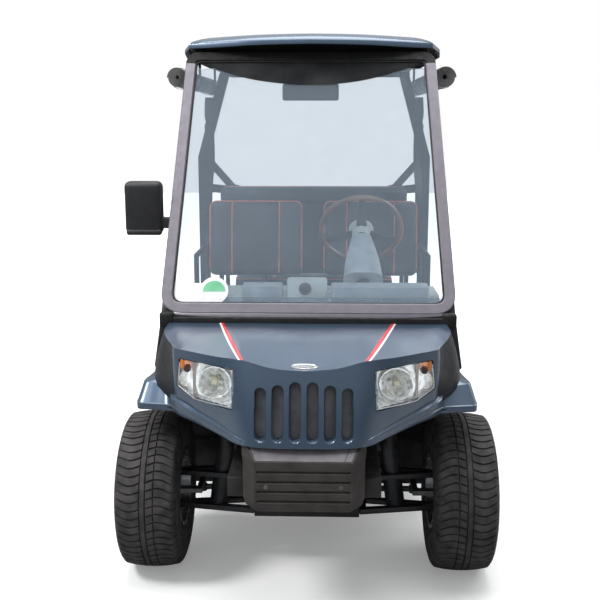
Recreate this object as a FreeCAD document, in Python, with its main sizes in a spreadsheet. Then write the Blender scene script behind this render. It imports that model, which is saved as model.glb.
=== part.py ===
import FreeCAD, Part
import math
import os

import Sketcher

Vector = FreeCAD.Vector
Rotation = FreeCAD.Rotation
Placement = FreeCAD.Placement

# A two-row electric golf cart, in millimetres.
# The front faces -Y, +X is the driver's side and +Z is up.
# The origin is on the ground, midway between the axles and the sides.

# Driving dimensions. Heights are stacked on the axle, and lengths are set off
# the two axles, so that one change carries what stands on it.
SIZES = {
    # wheels
    "wheelbase": 1670,
    "track": 1015,
    "tyre_radius": 260,
    "tyre_width": 205,
    "tyre_shoulder": 34,
    "bead_radius": 128,
    "rim_width": 190,
    "rim_wall": 13,
    "rim_disc_inset": 24,
    "rim_disc_thick": 16,
    "rim_window_radius": 17,
    "rim_window_circle": 80,
    "hub_radius": 46,
    "hub_length": 108,
    "spindle_radius": 22,
    "spindle_length": 126,
    "bearing_gap": 0.4,
    # front suspension and steering
    "kingpin_inset": 57.5,
    "knuckle_height": 86,
    "knuckle_width": 34,
    "knuckle_depth": 46,
    "joint_gap": 6,
    "arm_thick": 18,
    "arm_bar": 24,
    "arm_boss": 4,
    "arm_spread": 120,
    "coil_radius": 32,
    "coil_lean": 35,
    "steering_arm_reach": 90,
    "steering_arm_inset": 85,
    "steering_arm_thick": 16,
    "tie_rod_radius": 10,
    "tie_rod_eye": 13,
    "rack_tube_radius": 20,
    "rack_half_length": 170,
    # frame
    "rail_spacing": 400,
    "rail_width": 50,
    "rail_height": 60,
    "rail_arch_rise": 140,
    "rail_front_reach": 405,
    "rail_rear_reach": 345,
    "rail_ramp": 190,
    "front_ramp_back": 155,
    "rear_ramp_front": 135,
    "subframe_drop": 215,
    "subframe_depth": 130,
    # rear axle and its springs
    "axle_tube_radius": 36,
    "axle_brake_gap": 8,
    "gearcase_width": 110,
    "gearcase_side": 30,
    "gearcase_depth": 180,
    "gearcase_height": 200,
    "motor_radius": 92,
    "motor_length": 235,
    "motor_behind_axle": 145,
    "motor_above_axle": 10,
    "spring_width": 52,
    "spring_thick": 22,
    "spring_half_length": 255,
    "damper_radius": 24,
    # battery and floor
    "battery_width": 560,
    "battery_length": 440,
    "battery_height": 270,
    "floor_thick": 12,
    "floor_half_width": 455,
    "footwell_behind_axle": 335,
    "toe_lean": 140,
    "splash_inner": 240,
    "splash_outer": 440,
    "splash_drop": 175,
    "sill_width": 45,
    "sill_height": 90,
    # front body
    "front_overhang": 500,
    "cowl_wall": 6,
    "cowl_bottom_over_floor": 253,
    "hood_front_over_floor": 455,
    "hood_rise": 39,
    "hood_length": 467,
    "hood_rear_half_width": 430,
    "hood_waist_half_width": 456,
    "hood_corner_half_width": 393,
    "hood_nose_half_width": 170,
    "hood_turn_half_width": 240,
    "hood_turn": 57,
    "hood_corner": 287,
    "hood_waist": 125,
    "nose_bow": 13,
    "lip_corner_half_width": 200,
    "lip_front": 230,
    "face_lean": 50,
    "lip_half_width": 430,
    "fender_half_width": 540,
    "fender_lip_height": 62,
    "fender_thick": 20,
    "fender_root_rise": 3,
    "fender_setback": 170,
    "fender_length": 480,
    "slot_width": 32,
    "slot_pitch": 48,
    "slot_bottom_over_cowl": 16,
    "slot_height": 158,
    "slot_step": 8,
    "screen_margin": 8,
    "lamp_inner": 209,
    "lamp_width": 166,
    "lamp_height": 112,
    "lamp_bottom_over_cowl": 85,
    "lamp_depth": 70,
    "lamp_gap": 0.5,
    "bumper_half_width": 168,
    "bumper_height": 195,
    "bumper_depth": 95,
    "bumper_ledge": 32,
    "bumper_groove": 7,
    "bumper_groove_drop": 36,
    "bumper_groove_pitch": 29,
    "bumper_groove_half_width": 150,
    # dash, pedals and steering wheel
    "dash_depth": 260,
    "dash_top_over_hood": 79,
    "dash_shelf_rise": 16,
    "dash_shelf_depth": 8,
    "dash_slope_depth": 60,
    "dash_height": 245,
    "dash_half_width": 440,
    "cubby_width": 230,
    "cubby_height": 90,
    "cubby_depth": 110,
    "cubby_x": 250,
    "cup_radius": 40,
    "cup_depth": 80,
    "cup_x": 60,
    "wheel_x": 190,
    "wheel_behind_dash": 220,
    "wheel_over_dash": 175,
    "wheel_rim_radius": 150,
    "wheel_grip_radius": 14,
    "wheel_hub_radius": 48,
    "wheel_hub_length": 44,
    "wheel_spoke_width": 34,
    "column_angle": 32,
    "column_radius": 24,
    "column_length": 380,
    "pedal_width": 90,
    "pedal_height": 110,
    "pedal_thick": 12,
    # windshield
    "pillar_width": 36,
    "pillar_thick": 28,
    "windshield_foot_half_width": 485,
    "windshield_head_half_width": 446,
    "windshield_setback": 20,
    "windshield_height": 848,
    "windshield_lean": 435,
    "windshield_leg": 130,
    "glass_thick": 5,
    # roof
    "roof_over_windshield": 45,
    "roof_overhang": 80,
    "roof_thick": 56,
    "roof_lip": 30,
    "roof_front_bow": 70,
    "roof_front_half_width": 437,
    "roof_half_width": 520,
    "roof_length": 1450,
    "roof_widening": 560,
    "roof_corner": 60,
    "roof_shoulder": 12,
    "roof_wall": 6,
    "roof_rail_half_spacing": 400,
    "roof_rail_width": 40,
    "roof_rail_height": 40,
    "strut_width": 44,
    "strut_half_spacing": 505,
    "strut_bend_over_floor": 988,
    "strut_behind_pod": 30,
    "curtain_radius": 38,
    "curtain_length": 1240,
    "curtain_beside_rail": 86,
    "mirror_width": 205,
    "mirror_height": 60,
    "mirror_thick": 26,
    "mirror_drop": 82,
    "side_mirror_width": 128,
    "side_mirror_height": 180,
    "side_mirror_thick": 60,
    "side_mirror_over_floor": 768,
    # seats and rear body
    "pod_half_width": 470,
    "pod_before_axle": 335,
    "pod_length": 650,
    "pod_height": 308,
    "pod_wall": 12,
    "cushion_thick": 115,
    "cushion_round": 22,
    "cushion_length": 440,
    "cushion_half_width": 460,
    "cushion_overhang": 80,
    "seat_gap": 0.3,
    "back_width": 424,
    "back_split": 86,
    "back_height": 340,
    "back_thick": 88,
    "back_lean": 60,
    "back_over_cushion": 40,
    "back_behind_cushion": 40,
    "rear_back_half_width": 430,
    "rear_back_height": 400,
    "rear_back_lean": 90,
    "rear_back_thick": 80,
    "seat_frame_tube": 16,
    "rear_body_overhang": 30,
    "rear_body_height": 86,
    "rear_body_length": 390,
    "rear_cushion_gap": 20,
    "rear_cushion_thick": 100,
    "rear_board_thick": 15,
    "rear_board_edge": 5,
    "fender_gap": 38,
    "rear_fender_wall": 12,
    "rear_fender_reach": 80,
    "rear_fender_lift": 90,
    "foot_deck_over_floor": 20,
    "foot_deck_length": 240,
    "foot_deck_half_width": 380,
    "foot_deck_thick": 22,
    "rear_overhang": 500,
    "hip_rail_height": 290,
    "hip_tube": 11,
    "rear_hoop_front": 80,
    "rear_hoop_back": 40,
    "foot_hoop_height": 150,
    "rear_seat_setback": 60,
    "rear_hinge_reach": 5,
    "tail_lamp_width": 90,
    "tail_lamp_inset": 8,
    "tail_lamp_height": 46,
    "tail_lamp_depth": 22,
}

doc = FreeCAD.newDocument("GolfCart")
sheet = doc.addObject("Spreadsheet::Sheet", "Sizes")
for row, (alias, number) in enumerate(SIZES.items(), start=1):
    sheet.set(f"A{row}", alias)
    sheet.set(f"B{row}", str(number))
    sheet.setAlias(f"B{row}", alias)
doc.recompute()


class Size:
    """A number together with the sheet expression that gives it."""

    def __init__(self, number, text):
        self.number = float(number)
        self.text = text

    def __float__(self):
        return self.number

    def __add__(self, other):
        other = as_size(other)
        return Size(self.number + other.number, f"({self.text} + {other.text})")

    def __sub__(self, other):
        other = as_size(other)
        return Size(self.number - other.number, f"({self.text} - {other.text})")

    def __mul__(self, factor):
        return Size(self.number * factor, f"({self.text} * {factor})")

    def __truediv__(self, divisor):
        return Size(self.number / divisor, f"({self.text} / {divisor})")

    def __neg__(self):
        return Size(-self.number, f"(0 - {self.text})")


def as_size(value):
    if isinstance(value, Size):
        return value
    return Size(value, str(float(value)))


class Sheet:
    """Gives every alias of the sheet as a Size."""

    def __getattr__(self, alias):
        return Size(sheet.get(alias), f"Sizes.{alias}")


S = Sheet()
PIECES = []
RIM_WINDOWS = 8
GRILLE_SLOTS = 6
BUMPER_GROOVES = 4
# How far a cutting tool reaches past what it cuts.
OVER = 1
# The lamp's corners in shares of its width and height, and the way its clearance draws each one in.
LAMP_CORNERS = ((0, 0, 1, 1), (0.7, 0.12, 0, 1), (1, 0.5, -1, 0), (0.97, 1.08, -1, -1), (0, 0.94, 1, -1))
# Where the curtain straps hang, in shares of the roll's length.
STRAP_PLACES = (0.25, 0.55, 0.9)
MIRROR_PLANE = Vector(1, 0, 0)

# Heights, each stacked on the one before it.
axle_z = S.tyre_radius
rail_z = axle_z
rail_top = rail_z + S.rail_height
arch_z = rail_z + S.rail_arch_rise
arch_top = arch_z + S.rail_height
floor_top = rail_top + S.floor_thick
cowl_bottom = floor_top + S.cowl_bottom_over_floor
hood_front_z = floor_top + S.hood_front_over_floor
hood_rear_z = hood_front_z + S.hood_rise
dash_top = hood_rear_z + S.dash_top_over_hood
pod_top = floor_top + S.pod_height
cushion_top = pod_top + S.seat_gap + S.cushion_thick
dash_shelf = hood_rear_z + S.dash_shelf_rise
dash_low = dash_shelf - S.dash_height
roof_z = dash_shelf + S.windshield_height + S.roof_over_windshield

# Stations along the cart.
front_axle = -(S.wheelbase / 2)
rear_axle = S.wheelbase / 2
nose = front_axle - S.front_overhang
tail = rear_axle + S.rear_overhang
footwell_front = front_axle + S.footwell_behind_axle
pod_back = rear_axle - S.pod_before_axle
pod_front = pod_back - S.pod_length
hood_front = nose + S.face_lean + S.nose_bow
hood_rear = hood_front + S.hood_length
windshield_foot = hood_rear + S.windshield_setback
windshield_head = windshield_foot + S.windshield_lean
dash_rear = hood_rear + S.dash_depth
roof_front = windshield_head - S.roof_overhang
cushion_back = pod_front - S.cushion_overhang + S.cushion_length
back_foot = cushion_back + S.back_behind_cushion
strut_y = pod_back - S.strut_behind_pod

# Places across the cart.
wheel_centre = S.track / 2
tyre_inner = wheel_centre - S.tyre_width / 2
kingpin = wheel_centre - S.kingpin_inset
rear_body_half = S.pod_half_width + S.rear_body_overhang
rear_cushion_half = tyre_inner - S.rear_cushion_gap
rail_inner = S.rail_spacing / 2 - S.rail_width / 2
rail_outer = S.rail_spacing / 2 + S.rail_width / 2


def bind(thing, prop, value):
    thing.setExpression(prop, as_size(value).text)


def add(kind, name):
    return doc.addObject(kind, name)


def keep(thing, label):
    """Marks a finished sub-part, whose label names its file."""
    thing.Label = label
    PIECES.append(thing)
    return thing


def block(name, x, y, z):
    """A box between two limits on each axis."""
    solid = add("Part::Box", name)
    for prop, axis, (low, high) in (("Length", "x", x), ("Width", "y", y), ("Height", "z", z)):
        bind(solid, prop, as_size(high) - low)
        bind(solid, f"Placement.Base.{axis}", low)
    return solid


TURNS = {
    "x": Rotation(Vector(0, 1, 0), 90),
    "y": Rotation(Vector(1, 0, 0), -90),
    "z": Rotation(),
}


def rod(name, axis, radius, start, length, x=0, y=0, z=0):
    """A cylinder along one axis; start is its place on that axis."""
    solid = add("Part::Cylinder", name)
    solid.Placement = Placement(Vector(), TURNS[axis])
    bind(solid, "Radius", radius)
    bind(solid, "Height", length)
    places = {"x": x, "y": y, "z": z}
    places[axis] = start
    for side, place in places.items():
        bind(solid, f"Placement.Base.{side}", place)
    return solid


def fuse(name, parts):
    joined = add("Part::MultiFuse", name)
    joined.Shapes = parts
    return joined


def cut(name, base, tool):
    result = add("Part::Cut", name)
    result.Base = base
    result.Tool = tool
    return result


def mirror(name, source):
    """The same piece on the other side of the cart."""
    copy = add("Part::Mirroring", name)
    copy.Source = source
    copy.Normal = MIRROR_PLANE
    return copy


def group(name, parts):
    """Like pieces that don't touch, kept as one sub-part."""
    several = add("Part::Compound", name)
    several.Links = parts
    return several


def both_sides(label, source):
    return keep(group(label, [source, mirror(f"{label}_other", source)]), label)


def shape(label, solid):
    """A sub-part whose shape is worked out by Part's own functions."""
    piece = add("Part::Feature", label)
    place = solid.Placement
    piece.Shape = solid
    piece.Placement = place
    return piece


PLANES = {"xy": "XY_Plane", "xz": "XZ_Plane", "yz": "YZ_Plane"}


def plane_of(body, key):
    for feature in body.Origin.OriginFeatures:
        if feature.Role == PLANES[key]:
            return feature
    raise ValueError(key)


def outline(body, name, plane, corners, offset=0):
    """A closed straight-sided sketch with every corner tied to the sheet."""
    sketch = body.newObject("Sketcher::SketchObject", name)
    sketch.AttachmentSupport = (plane_of(body, plane), [""])
    sketch.MapMode = "FlatFace"
    bind(sketch, "AttachmentOffset.Base.z", offset)
    corners = [(as_size(a), as_size(b)) for a, b in corners]
    count = len(corners)
    for here, there in zip(corners, corners[1:] + corners[:1]):
        start = Vector(float(here[0]), float(here[1]), 0)
        end = Vector(float(there[0]), float(there[1]), 0)
        sketch.addGeometry(Part.LineSegment(start, end))
    for index in range(count):
        sketch.addConstraint(Sketcher.Constraint("Coincident", index, 2, (index + 1) % count, 1))
    for index, (across, up) in enumerate(corners):
        for kind, value in (("DistanceX", across), ("DistanceY", up)):
            number = sketch.addConstraint(
                Sketcher.Constraint(kind, -1, 1, index, 1, float(value)))
            sketch.setExpression(f"Constraints[{number}]", value.text)
    return sketch


def pad(name, plane, corners, low, high):
    """An outline in a plane made solid between two places along its normal."""
    body = add("PartDesign::Body", name)
    sign = -1 if plane == "xz" else 1
    start = -as_size(high) if sign < 0 else as_size(low)
    sketch = outline(body, f"{name}_outline", plane, corners, start)
    feature = body.newObject("PartDesign::Pad", f"{name}_pad")
    feature.Profile = sketch
    bind(feature, "Length", as_size(high) - low)
    return body


def turned(name, corners, x=0, y=0, z=0):
    """A profile of (along X, radius) turned about the X axis."""
    body = add("PartDesign::Body", name)
    sketch = outline(body, f"{name}_outline", "xy", corners)
    feature = body.newObject("PartDesign::Revolution", f"{name}_turn")
    feature.Profile = sketch
    feature.ReferenceAxis = (sketch, ["H_Axis"])
    feature.Angle = 360
    for side, place in (("x", x), ("y", y), ("z", z)):
        bind(body, f"Placement.Base.{side}", place)
    return body


def rounded(body, radius):
    """The body with all its edges rounded, as on a cushion."""
    doc.recompute()
    tip = body.Tip
    names = [f"Edge{number}" for number in range(1, len(tip.Shape.Edges) + 1)]
    feature = body.newObject("PartDesign::Fillet", f"{body.Name}_round")
    feature.Base = (tip, names)
    bind(feature, "Radius", radius)
    return body


ALONG_X = Vector(1, 0, 0)
ALONG_Y = Vector(0, 1, 0)
ALONG_Z = Vector(0, 0, 1)


def point(x, y, z):
    return Vector(float(x), float(y), float(z))


def bar(start, end, radius):
    """A round bar between two points."""
    way = end - start
    return Part.makeCylinder(float(radius), way.Length, start, way)


def tube_run(points, radius):
    """Round bars joined with balls at their corners."""
    solid = None
    for start, end in zip(points, points[1:]):
        piece = bar(start, end, radius)
        solid = piece if solid is None else solid.fuse(piece)
    for corner in points[1:-1]:
        solid = solid.fuse(Part.makeSphere(float(radius), corner))
    return solid.removeSplitter()


def flip(solid):
    return solid.mirror(Vector(), MIRROR_PLANE)


def together(solids):
    return Part.makeCompound(solids)


# Frame

def make_frame():
    """Two rails that rise over both axles, and what ties them."""
    front = front_axle - S.rail_front_reach
    back = rear_axle + S.rail_rear_reach
    front_ramp = front_axle + S.front_ramp_back
    rear_ramp = rear_axle - S.rear_ramp_front
    side = [
        (front, arch_z),
        (front_ramp, arch_z),
        (front_ramp + S.rail_ramp, rail_z),
        (rear_ramp - S.rail_ramp, rail_z),
        (rear_ramp, arch_z),
        (back, arch_z),
        (back, arch_top),
        (rear_ramp, arch_top),
        (rear_ramp - S.rail_ramp, rail_top),
        (front_ramp + S.rail_ramp, rail_top),
        (front_ramp, arch_top),
        (front, arch_top),
    ]
    rail = pad("rail", "yz", side, rail_inner, rail_outer)
    rails = both_sides("frame_rails", rail)

    depth = S.rail_width
    across = (-rail_inner, rail_inner)
    subframe_front = front_axle - S.subframe_depth / 2
    subframe = block(
        "subframe", across, (subframe_front, subframe_front + S.subframe_depth),
        (arch_top - S.rail_height - S.subframe_drop, arch_top))
    bars = [subframe]
    stations = {
        "nose_bar": (front, arch_z),
        "floor_bar": (front_ramp + S.rail_ramp, rail_z),
        "middle_bar": (rear_ramp - S.rail_ramp - depth, rail_z),
        "spring_bar": (rear_ramp, arch_z),
        "tail_bar": (back - depth, arch_z),
    }
    for name, (y, low) in stations.items():
        bars.append(block(name, across, (y, y + depth), (low, low + S.rail_height)))
    keep(group("crossmembers", bars), "frame_crossmembers")
    return rails


# Front suspension and steering

def make_front_suspension():
    """Upper and lower wishbones with a coil-over between them."""
    inner = float(rail_inner)
    outer = float(kingpin)
    half = float(S.knuckle_height) / 2
    gap = float(S.joint_gap)
    thick = float(S.arm_thick)
    width = float(S.arm_bar)
    spread = float(S.arm_spread) / 2
    y = float(front_axle)
    levels = (
        float(axle_z) - half - gap - thick,
        float(axle_z) + half + gap,
    )
    solids = []
    for low in levels:
        arm = Part.makeCylinder(width / 2 + float(S.arm_boss), thick, Vector(outer, y, low))
        for side in (-1, 1):
            foot = Vector(inner, y + side * spread - side * width / 2, low)
            tip = Vector(outer, y, low)
            way = tip - foot
            cross = Vector(-way.y, way.x, 0).normalize() * (width / 2)
            corners = [foot + cross, foot - cross, tip - cross, tip + cross]
            leg = Part.Face(Part.makePolygon(corners + corners[:1])).extrude(Vector(0, 0, thick))
            arm = arm.fuse(leg)
        tie = Part.makeBox(width, 2 * spread - width, thick, Vector(inner, y - spread + width / 2, low))
        core = Part.makeBox(inner, 4 * spread, thick, Vector(0, y - 2 * spread, low))
        solids.append(arm.fuse(tie).cut(core).removeSplitter())
    radius = float(S.coil_radius)
    side = float(rail_outer)
    head_x = side + radius + float(S.joint_gap)
    foot_x = head_x + float(S.coil_lean)
    foot = Vector(foot_x, y, levels[0] + thick)
    head = Vector(head_x, y, float(arch_top) + radius)
    coil = bar(foot, head, radius)
    trim = Part.makeBox(2 * foot_x, 2 * foot_x, thick, Vector(0, y - foot_x, levels[0]))
    rail = Part.makeBox(2 * side, 2 * foot_x, 2 * float(arch_top), Vector(-side, y - foot_x, 0))
    bracket = Part.makeBox(head_x - side, radius, float(S.rail_height),
                           Vector(side, y - radius / 2, float(arch_z)))
    solids.append(coil.cut(trim).cut(rail).fuse(bracket))
    return solids


def make_front_axle():
    """The wishbones and coil-overs of both sides, as one sub-part."""
    solids = make_front_suspension()
    keep(shape("front_suspension", together(solids + [flip(s) for s in solids])), "front_suspension")



def make_knuckle(side):
    """The upright with its spindle and steering arm, on the driver's side."""
    half = S.knuckle_height / 2
    upright = block(
        f"upright_{side}", (kingpin - S.knuckle_width / 2, kingpin + S.knuckle_width / 2),
        (front_axle - S.knuckle_depth / 2, front_axle + S.knuckle_depth / 2),
        (axle_z - half, axle_z + half))
    spindle = rod(f"spindle_{side}", "x", S.spindle_radius, kingpin, S.spindle_length,
                  y=front_axle, z=axle_z)
    reach = half + S.joint_gap - S.bearing_gap
    pin = rod(f"kingpin_{side}", "z", S.tie_rod_radius, axle_z - reach, reach * 2,
              x=kingpin, y=front_axle)
    inner = kingpin - S.steering_arm_inset - S.tie_rod_radius
    outer = inner + S.tie_rod_radius * 2
    half_arm = S.knuckle_depth / 3
    corners = [
        (kingpin, front_axle - half_arm),
        (inner, front_axle - half_arm),
        (inner, front_axle + S.steering_arm_reach + S.tie_rod_radius),
        (outer, front_axle + S.steering_arm_reach + S.tie_rod_radius),
        (outer, front_axle + half_arm),
        (kingpin, front_axle + half_arm),
    ]
    arm = pad(f"steering_arm_{side}", "xy", corners, axle_z - S.steering_arm_thick, axle_z)
    return fuse(f"knuckle_parts_{side}", [upright, spindle, pin, arm])


def make_steering_linkage():
    """Both knuckles, and the rack bar with its two tie rods."""
    keep(make_knuckle("left"), "knuckle_left")
    keep(mirror("knuckle_right", make_knuckle("right")), "knuckle_right")
    rod_z = axle_z - S.steering_arm_thick - S.joint_gap - S.tie_rod_eye
    rod_y = front_axle + S.steering_arm_reach
    reach = kingpin - S.steering_arm_inset
    rack = rod("rack_bar", "x", S.tie_rod_radius, -reach, reach * 2, y=rod_y, z=rod_z)
    eyes = []
    for name, x in (("eye_left", reach), ("eye_right", -reach)):
        eyes.append(rod(name, "z", S.tie_rod_eye, rod_z - S.tie_rod_eye, S.tie_rod_eye * 2,
                        x=x, y=rod_y))
    keep(fuse("tie_rods", [rack] + eyes), "tie_rods")
    return rod_y, rod_z


def make_steering_gear(rod_y, rod_z, dash):
    """The rack's tube with its feet, and the column in its jacket."""
    width = S.rack_half_length * 2
    tube = rod("rack_tube", "x", S.rack_tube_radius, -S.rack_half_length, width, y=rod_y, z=rod_z)
    feet = []
    subframe_back = front_axle + S.subframe_depth / 2
    for name, x in (("rack_foot_left", S.rack_half_length - S.rail_width), ("rack_foot_right", -S.rack_half_length)):
        feet.append(block(name, (x + S.tie_rod_eye, x + S.rail_width - S.tie_rod_eye), (subframe_back, rod_y),
                          (rod_z - S.tie_rod_radius, rod_z + S.tie_rod_radius)))
    bore = rod("rack_bore", "x", S.tie_rod_radius + S.bearing_gap, -S.rack_half_length, width,
               y=rod_y, z=rod_z)
    rack = cut("rack_housing", fuse("rack_body", [tube] + feet), bore)
    doc.recompute()
    foot = wheel_hub_point(-float(S.wheel_hub_length) / 2 - float(S.bearing_gap))
    end = wheel_hub_point(-float(S.wheel_hub_length) / 2 - float(S.column_length))
    column = bar(foot, end, S.column_radius).cut(dash.Shape)
    column = max(column.Solids, key=lambda solid: solid.BoundBox.YMax)
    keep(shape("steering_gear", together([rack.Shape, column])), "steering_gear")


def column_way():
    """The way the steering wheel faces: back and up, towards the driver."""
    angle = math.radians(float(S.column_angle))
    return Vector(0, math.cos(angle), math.sin(angle))


def wheel_hub_point(along=0.0):
    centre = point(S.wheel_x, dash_rear + S.wheel_behind_dash, dash_top + S.wheel_over_dash)
    return centre + column_way() * along


def make_steering_wheel():
    """A ring, three spokes and a hub, square to the column."""
    grip = float(S.wheel_grip_radius)
    ring_radius = float(S.wheel_rim_radius)
    spoke = float(S.wheel_spoke_width)
    half = float(S.wheel_hub_length) / 2
    wheel = Part.makeCylinder(float(S.wheel_hub_radius), 2 * half, Vector(0, 0, -half))
    wheel = wheel.fuse(Part.makeTorus(ring_radius, grip))
    for turn in (0, 120, 240):
        arm = Part.makeBox(ring_radius, spoke, grip, Vector(0, -spoke / 2, -grip / 2))
        arm.rotate(Vector(), ALONG_Z, 270 + turn)
        wheel = wheel.fuse(arm)
    wheel = wheel.removeSplitter()
    wheel.rotate(Vector(), ALONG_X, float(S.column_angle) - 90)
    wheel.translate(wheel_hub_point())
    keep(shape("steering_wheel", wheel), "steering_wheel")


# Wheels

def make_tyre(label, x, y):
    half = S.tyre_width / 2
    bead_step = S.tyre_shoulder / 3
    wall_low = S.bead_radius + S.tyre_shoulder
    wall_high = S.tyre_radius - S.tyre_shoulder
    corners = [
        (-half + bead_step, S.bead_radius),
        (-half, wall_low),
        (-half, wall_high),
        (-half + bead_step, S.tyre_radius - S.tyre_shoulder / 3),
        (-half + S.tyre_shoulder, S.tyre_radius),
        (half - S.tyre_shoulder, S.tyre_radius),
        (half - bead_step, S.tyre_radius - S.tyre_shoulder / 3),
        (half, wall_high),
        (half, wall_low),
        (half - bead_step, S.bead_radius),
    ]
    keep(turned(label.replace("tyre", "tyre_body"), corners, x, y, axle_z), label)


def make_rim(label, x, y, outward):
    """A barrel, a disc with round windows and a bored hub."""
    edge = S.rim_width / 2
    inside = S.bead_radius - S.rim_wall
    disc_out = edge - S.rim_disc_inset
    disc_in = disc_out - S.rim_disc_thick
    bore = S.spindle_radius + S.bearing_gap
    corners = [
        (-edge, inside),
        (-edge, S.bead_radius),
        (edge, S.bead_radius),
        (edge, inside),
        (disc_out, inside),
        (disc_out, bore),
        (disc_out - S.hub_length, bore),
        (disc_out - S.hub_length, S.hub_radius),
        (disc_in, S.hub_radius),
        (disc_in, inside),
    ]
    body = turned(label.replace("rim", "rim_body"), corners, x, y, axle_z)
    sketch = body.newObject("Sketcher::SketchObject", f"{label}_window")
    sketch.AttachmentSupport = (plane_of(body, "yz"), [""])
    sketch.MapMode = "FlatFace"
    centre = Vector(0, float(S.rim_window_circle), 0)
    sketch.addGeometry(Part.Circle(centre, ALONG_Z, float(S.rim_window_radius)))
    limits = (
        (Sketcher.Constraint("DistanceX", -1, 1, 0, 3, 0.0), None),
        (Sketcher.Constraint("DistanceY", -1, 1, 0, 3, centre.y), S.rim_window_circle),
        (Sketcher.Constraint("Radius", 0, float(S.rim_window_radius)), S.rim_window_radius),
    )
    for limit, size in limits:
        number = sketch.addConstraint(limit)
        if size is not None:
            sketch.setExpression(f"Constraints[{number}]", size.text)
    doc.recompute()
    window = body.newObject("PartDesign::Pocket", f"{label}_pocket")
    window.Profile = sketch
    window.Type = 1
    window.Midplane = True
    doc.recompute()
    ring = body.newObject("PartDesign::PolarPattern", f"{label}_ring")
    ring.Originals = [window]
    ring.Axis = (sketch, ["N_Axis"])
    ring.Angle = 360
    ring.Occurrences = RIM_WINDOWS
    body.Tip = ring
    if outward < 0:
        body.Placement.Rotation = Rotation(ALONG_Z, 180)
    keep(body, label)


def make_wheels():
    for end, y in (("front", front_axle), ("rear", rear_axle)):
        for side, sign in (("left", 1), ("right", -1)):
            x = wheel_centre if sign > 0 else -wheel_centre
            make_tyre(f"tyre_{end}_{side}", x, y)
            make_rim(f"rim_{end}_{side}", x, y, sign)


# Rear axle

def make_rear_axle():
    """A tube with its gear case, the spindles and the motor as one block."""
    brake = wheel_centre + S.rim_width / 2 - S.rim_disc_inset - S.hub_length - S.axle_brake_gap
    spindle_end = kingpin + S.spindle_length
    tube = rod("axle_tube", "x", S.axle_tube_radius, -brake, brake * 2, y=rear_axle, z=axle_z)
    shaft = rod("axle_shaft", "x", S.spindle_radius, -spindle_end, spindle_end * 2, y=rear_axle, z=axle_z)
    side = S.gearcase_side
    case = block("gearcase", (side, side + S.gearcase_width),
                 (rear_axle - S.gearcase_depth / 2, rear_axle + S.motor_behind_axle + S.motor_radius),
                 (axle_z - S.gearcase_height / 2, axle_z + S.gearcase_height / 2))
    keep(fuse("rear_axle", [tube, shaft, case]), "rear_axle")
    motor = rod("motor", "x", S.motor_radius, side - S.motor_length, S.motor_length,
                y=rear_axle + S.motor_behind_axle, z=axle_z + S.motor_above_axle)
    keep(motor, "drive_motor")


def make_rear_suspension():
    """Bowed leaf springs on hangers, and upright dampers."""
    inner = rail_outer
    outer = rail_outer + S.spring_width
    low = axle_z + S.axle_tube_radius
    half = S.spring_half_length
    bow = S.spring_thick * 1.5
    thick = S.spring_thick
    corners = [
        (rear_axle - half, low + bow),
        (rear_axle - half / 2, low + bow / 3),
        (rear_axle, low),
        (rear_axle + half / 2, low + bow / 3),
        (rear_axle + half, low + bow),
        (rear_axle + half, low + bow + thick),
        (rear_axle + half / 2, low + bow / 3 + thick),
        (rear_axle, low + thick * 2),
        (rear_axle - half / 2, low + bow / 3 + thick),
        (rear_axle - half, low + bow + thick),
    ]
    spring = pad("leaf", "yz", corners, inner, outer)
    front_hanger = block("front_hanger", (inner, outer),
                         (rear_axle - half - thick, rear_axle - half + thick),
                         (rail_top - S.rail_height / 2, low + bow + thick * 2))
    rear_hanger = block("rear_hanger", (inner, outer),
                        (rear_axle + half - thick * 2, rear_axle + half),
                        (low + bow, arch_z + S.rail_height / 2))
    damper_x = outer + S.damper_radius * 1.5
    damper = rod("damper", "z", S.damper_radius, low + S.bearing_gap, arch_z - low, x=damper_x, y=rear_axle)
    head = block("damper_head", (inner, damper_x + S.damper_radius),
                 (rear_axle - S.damper_radius, rear_axle + S.damper_radius),
                 (arch_z, arch_top))
    both_sides("rear_suspension", fuse("rear_suspension_left", [spring, front_hanger, rear_hanger, damper, head]))


# Floor, battery and body sides

def make_floor(rails):
    """The flat floor, the toe board that rises to the dash, and a splash board behind each front wheel."""
    toe_top = footwell_front - S.toe_lean
    thick = S.floor_thick
    corners = [
        (pod_back, rail_top),
        (pod_back, floor_top),
        (footwell_front + thick / 2, floor_top),
        (toe_top + thick, dash_low),
        (toe_top, dash_low),
        (footwell_front - thick / 2, rail_top),
    ]
    floor = pad("floor", "yz", corners, -S.floor_half_width, S.floor_half_width)
    boards = []
    for name, low, high in (("splash_left", S.splash_inner, S.splash_outer),
                            ("splash_right", -S.splash_outer, -S.splash_inner)):
        boards.append(block(name, (low, high), (footwell_front - thick / 2, footwell_front + thick / 2),
                            (rail_top - S.splash_drop, rail_top + thick / 2)))
    return keep(cut("floor_cut", fuse("floor_and_splash", [floor] + boards), rails), "floor_pan")


def make_battery():
    front = pod_front + S.pod_wall * 3
    half = S.battery_width / 2
    keep(block("battery", (-half, half), (front, front + S.battery_length),
               (floor_top, floor_top + S.battery_height)), "battery_pack")


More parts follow.
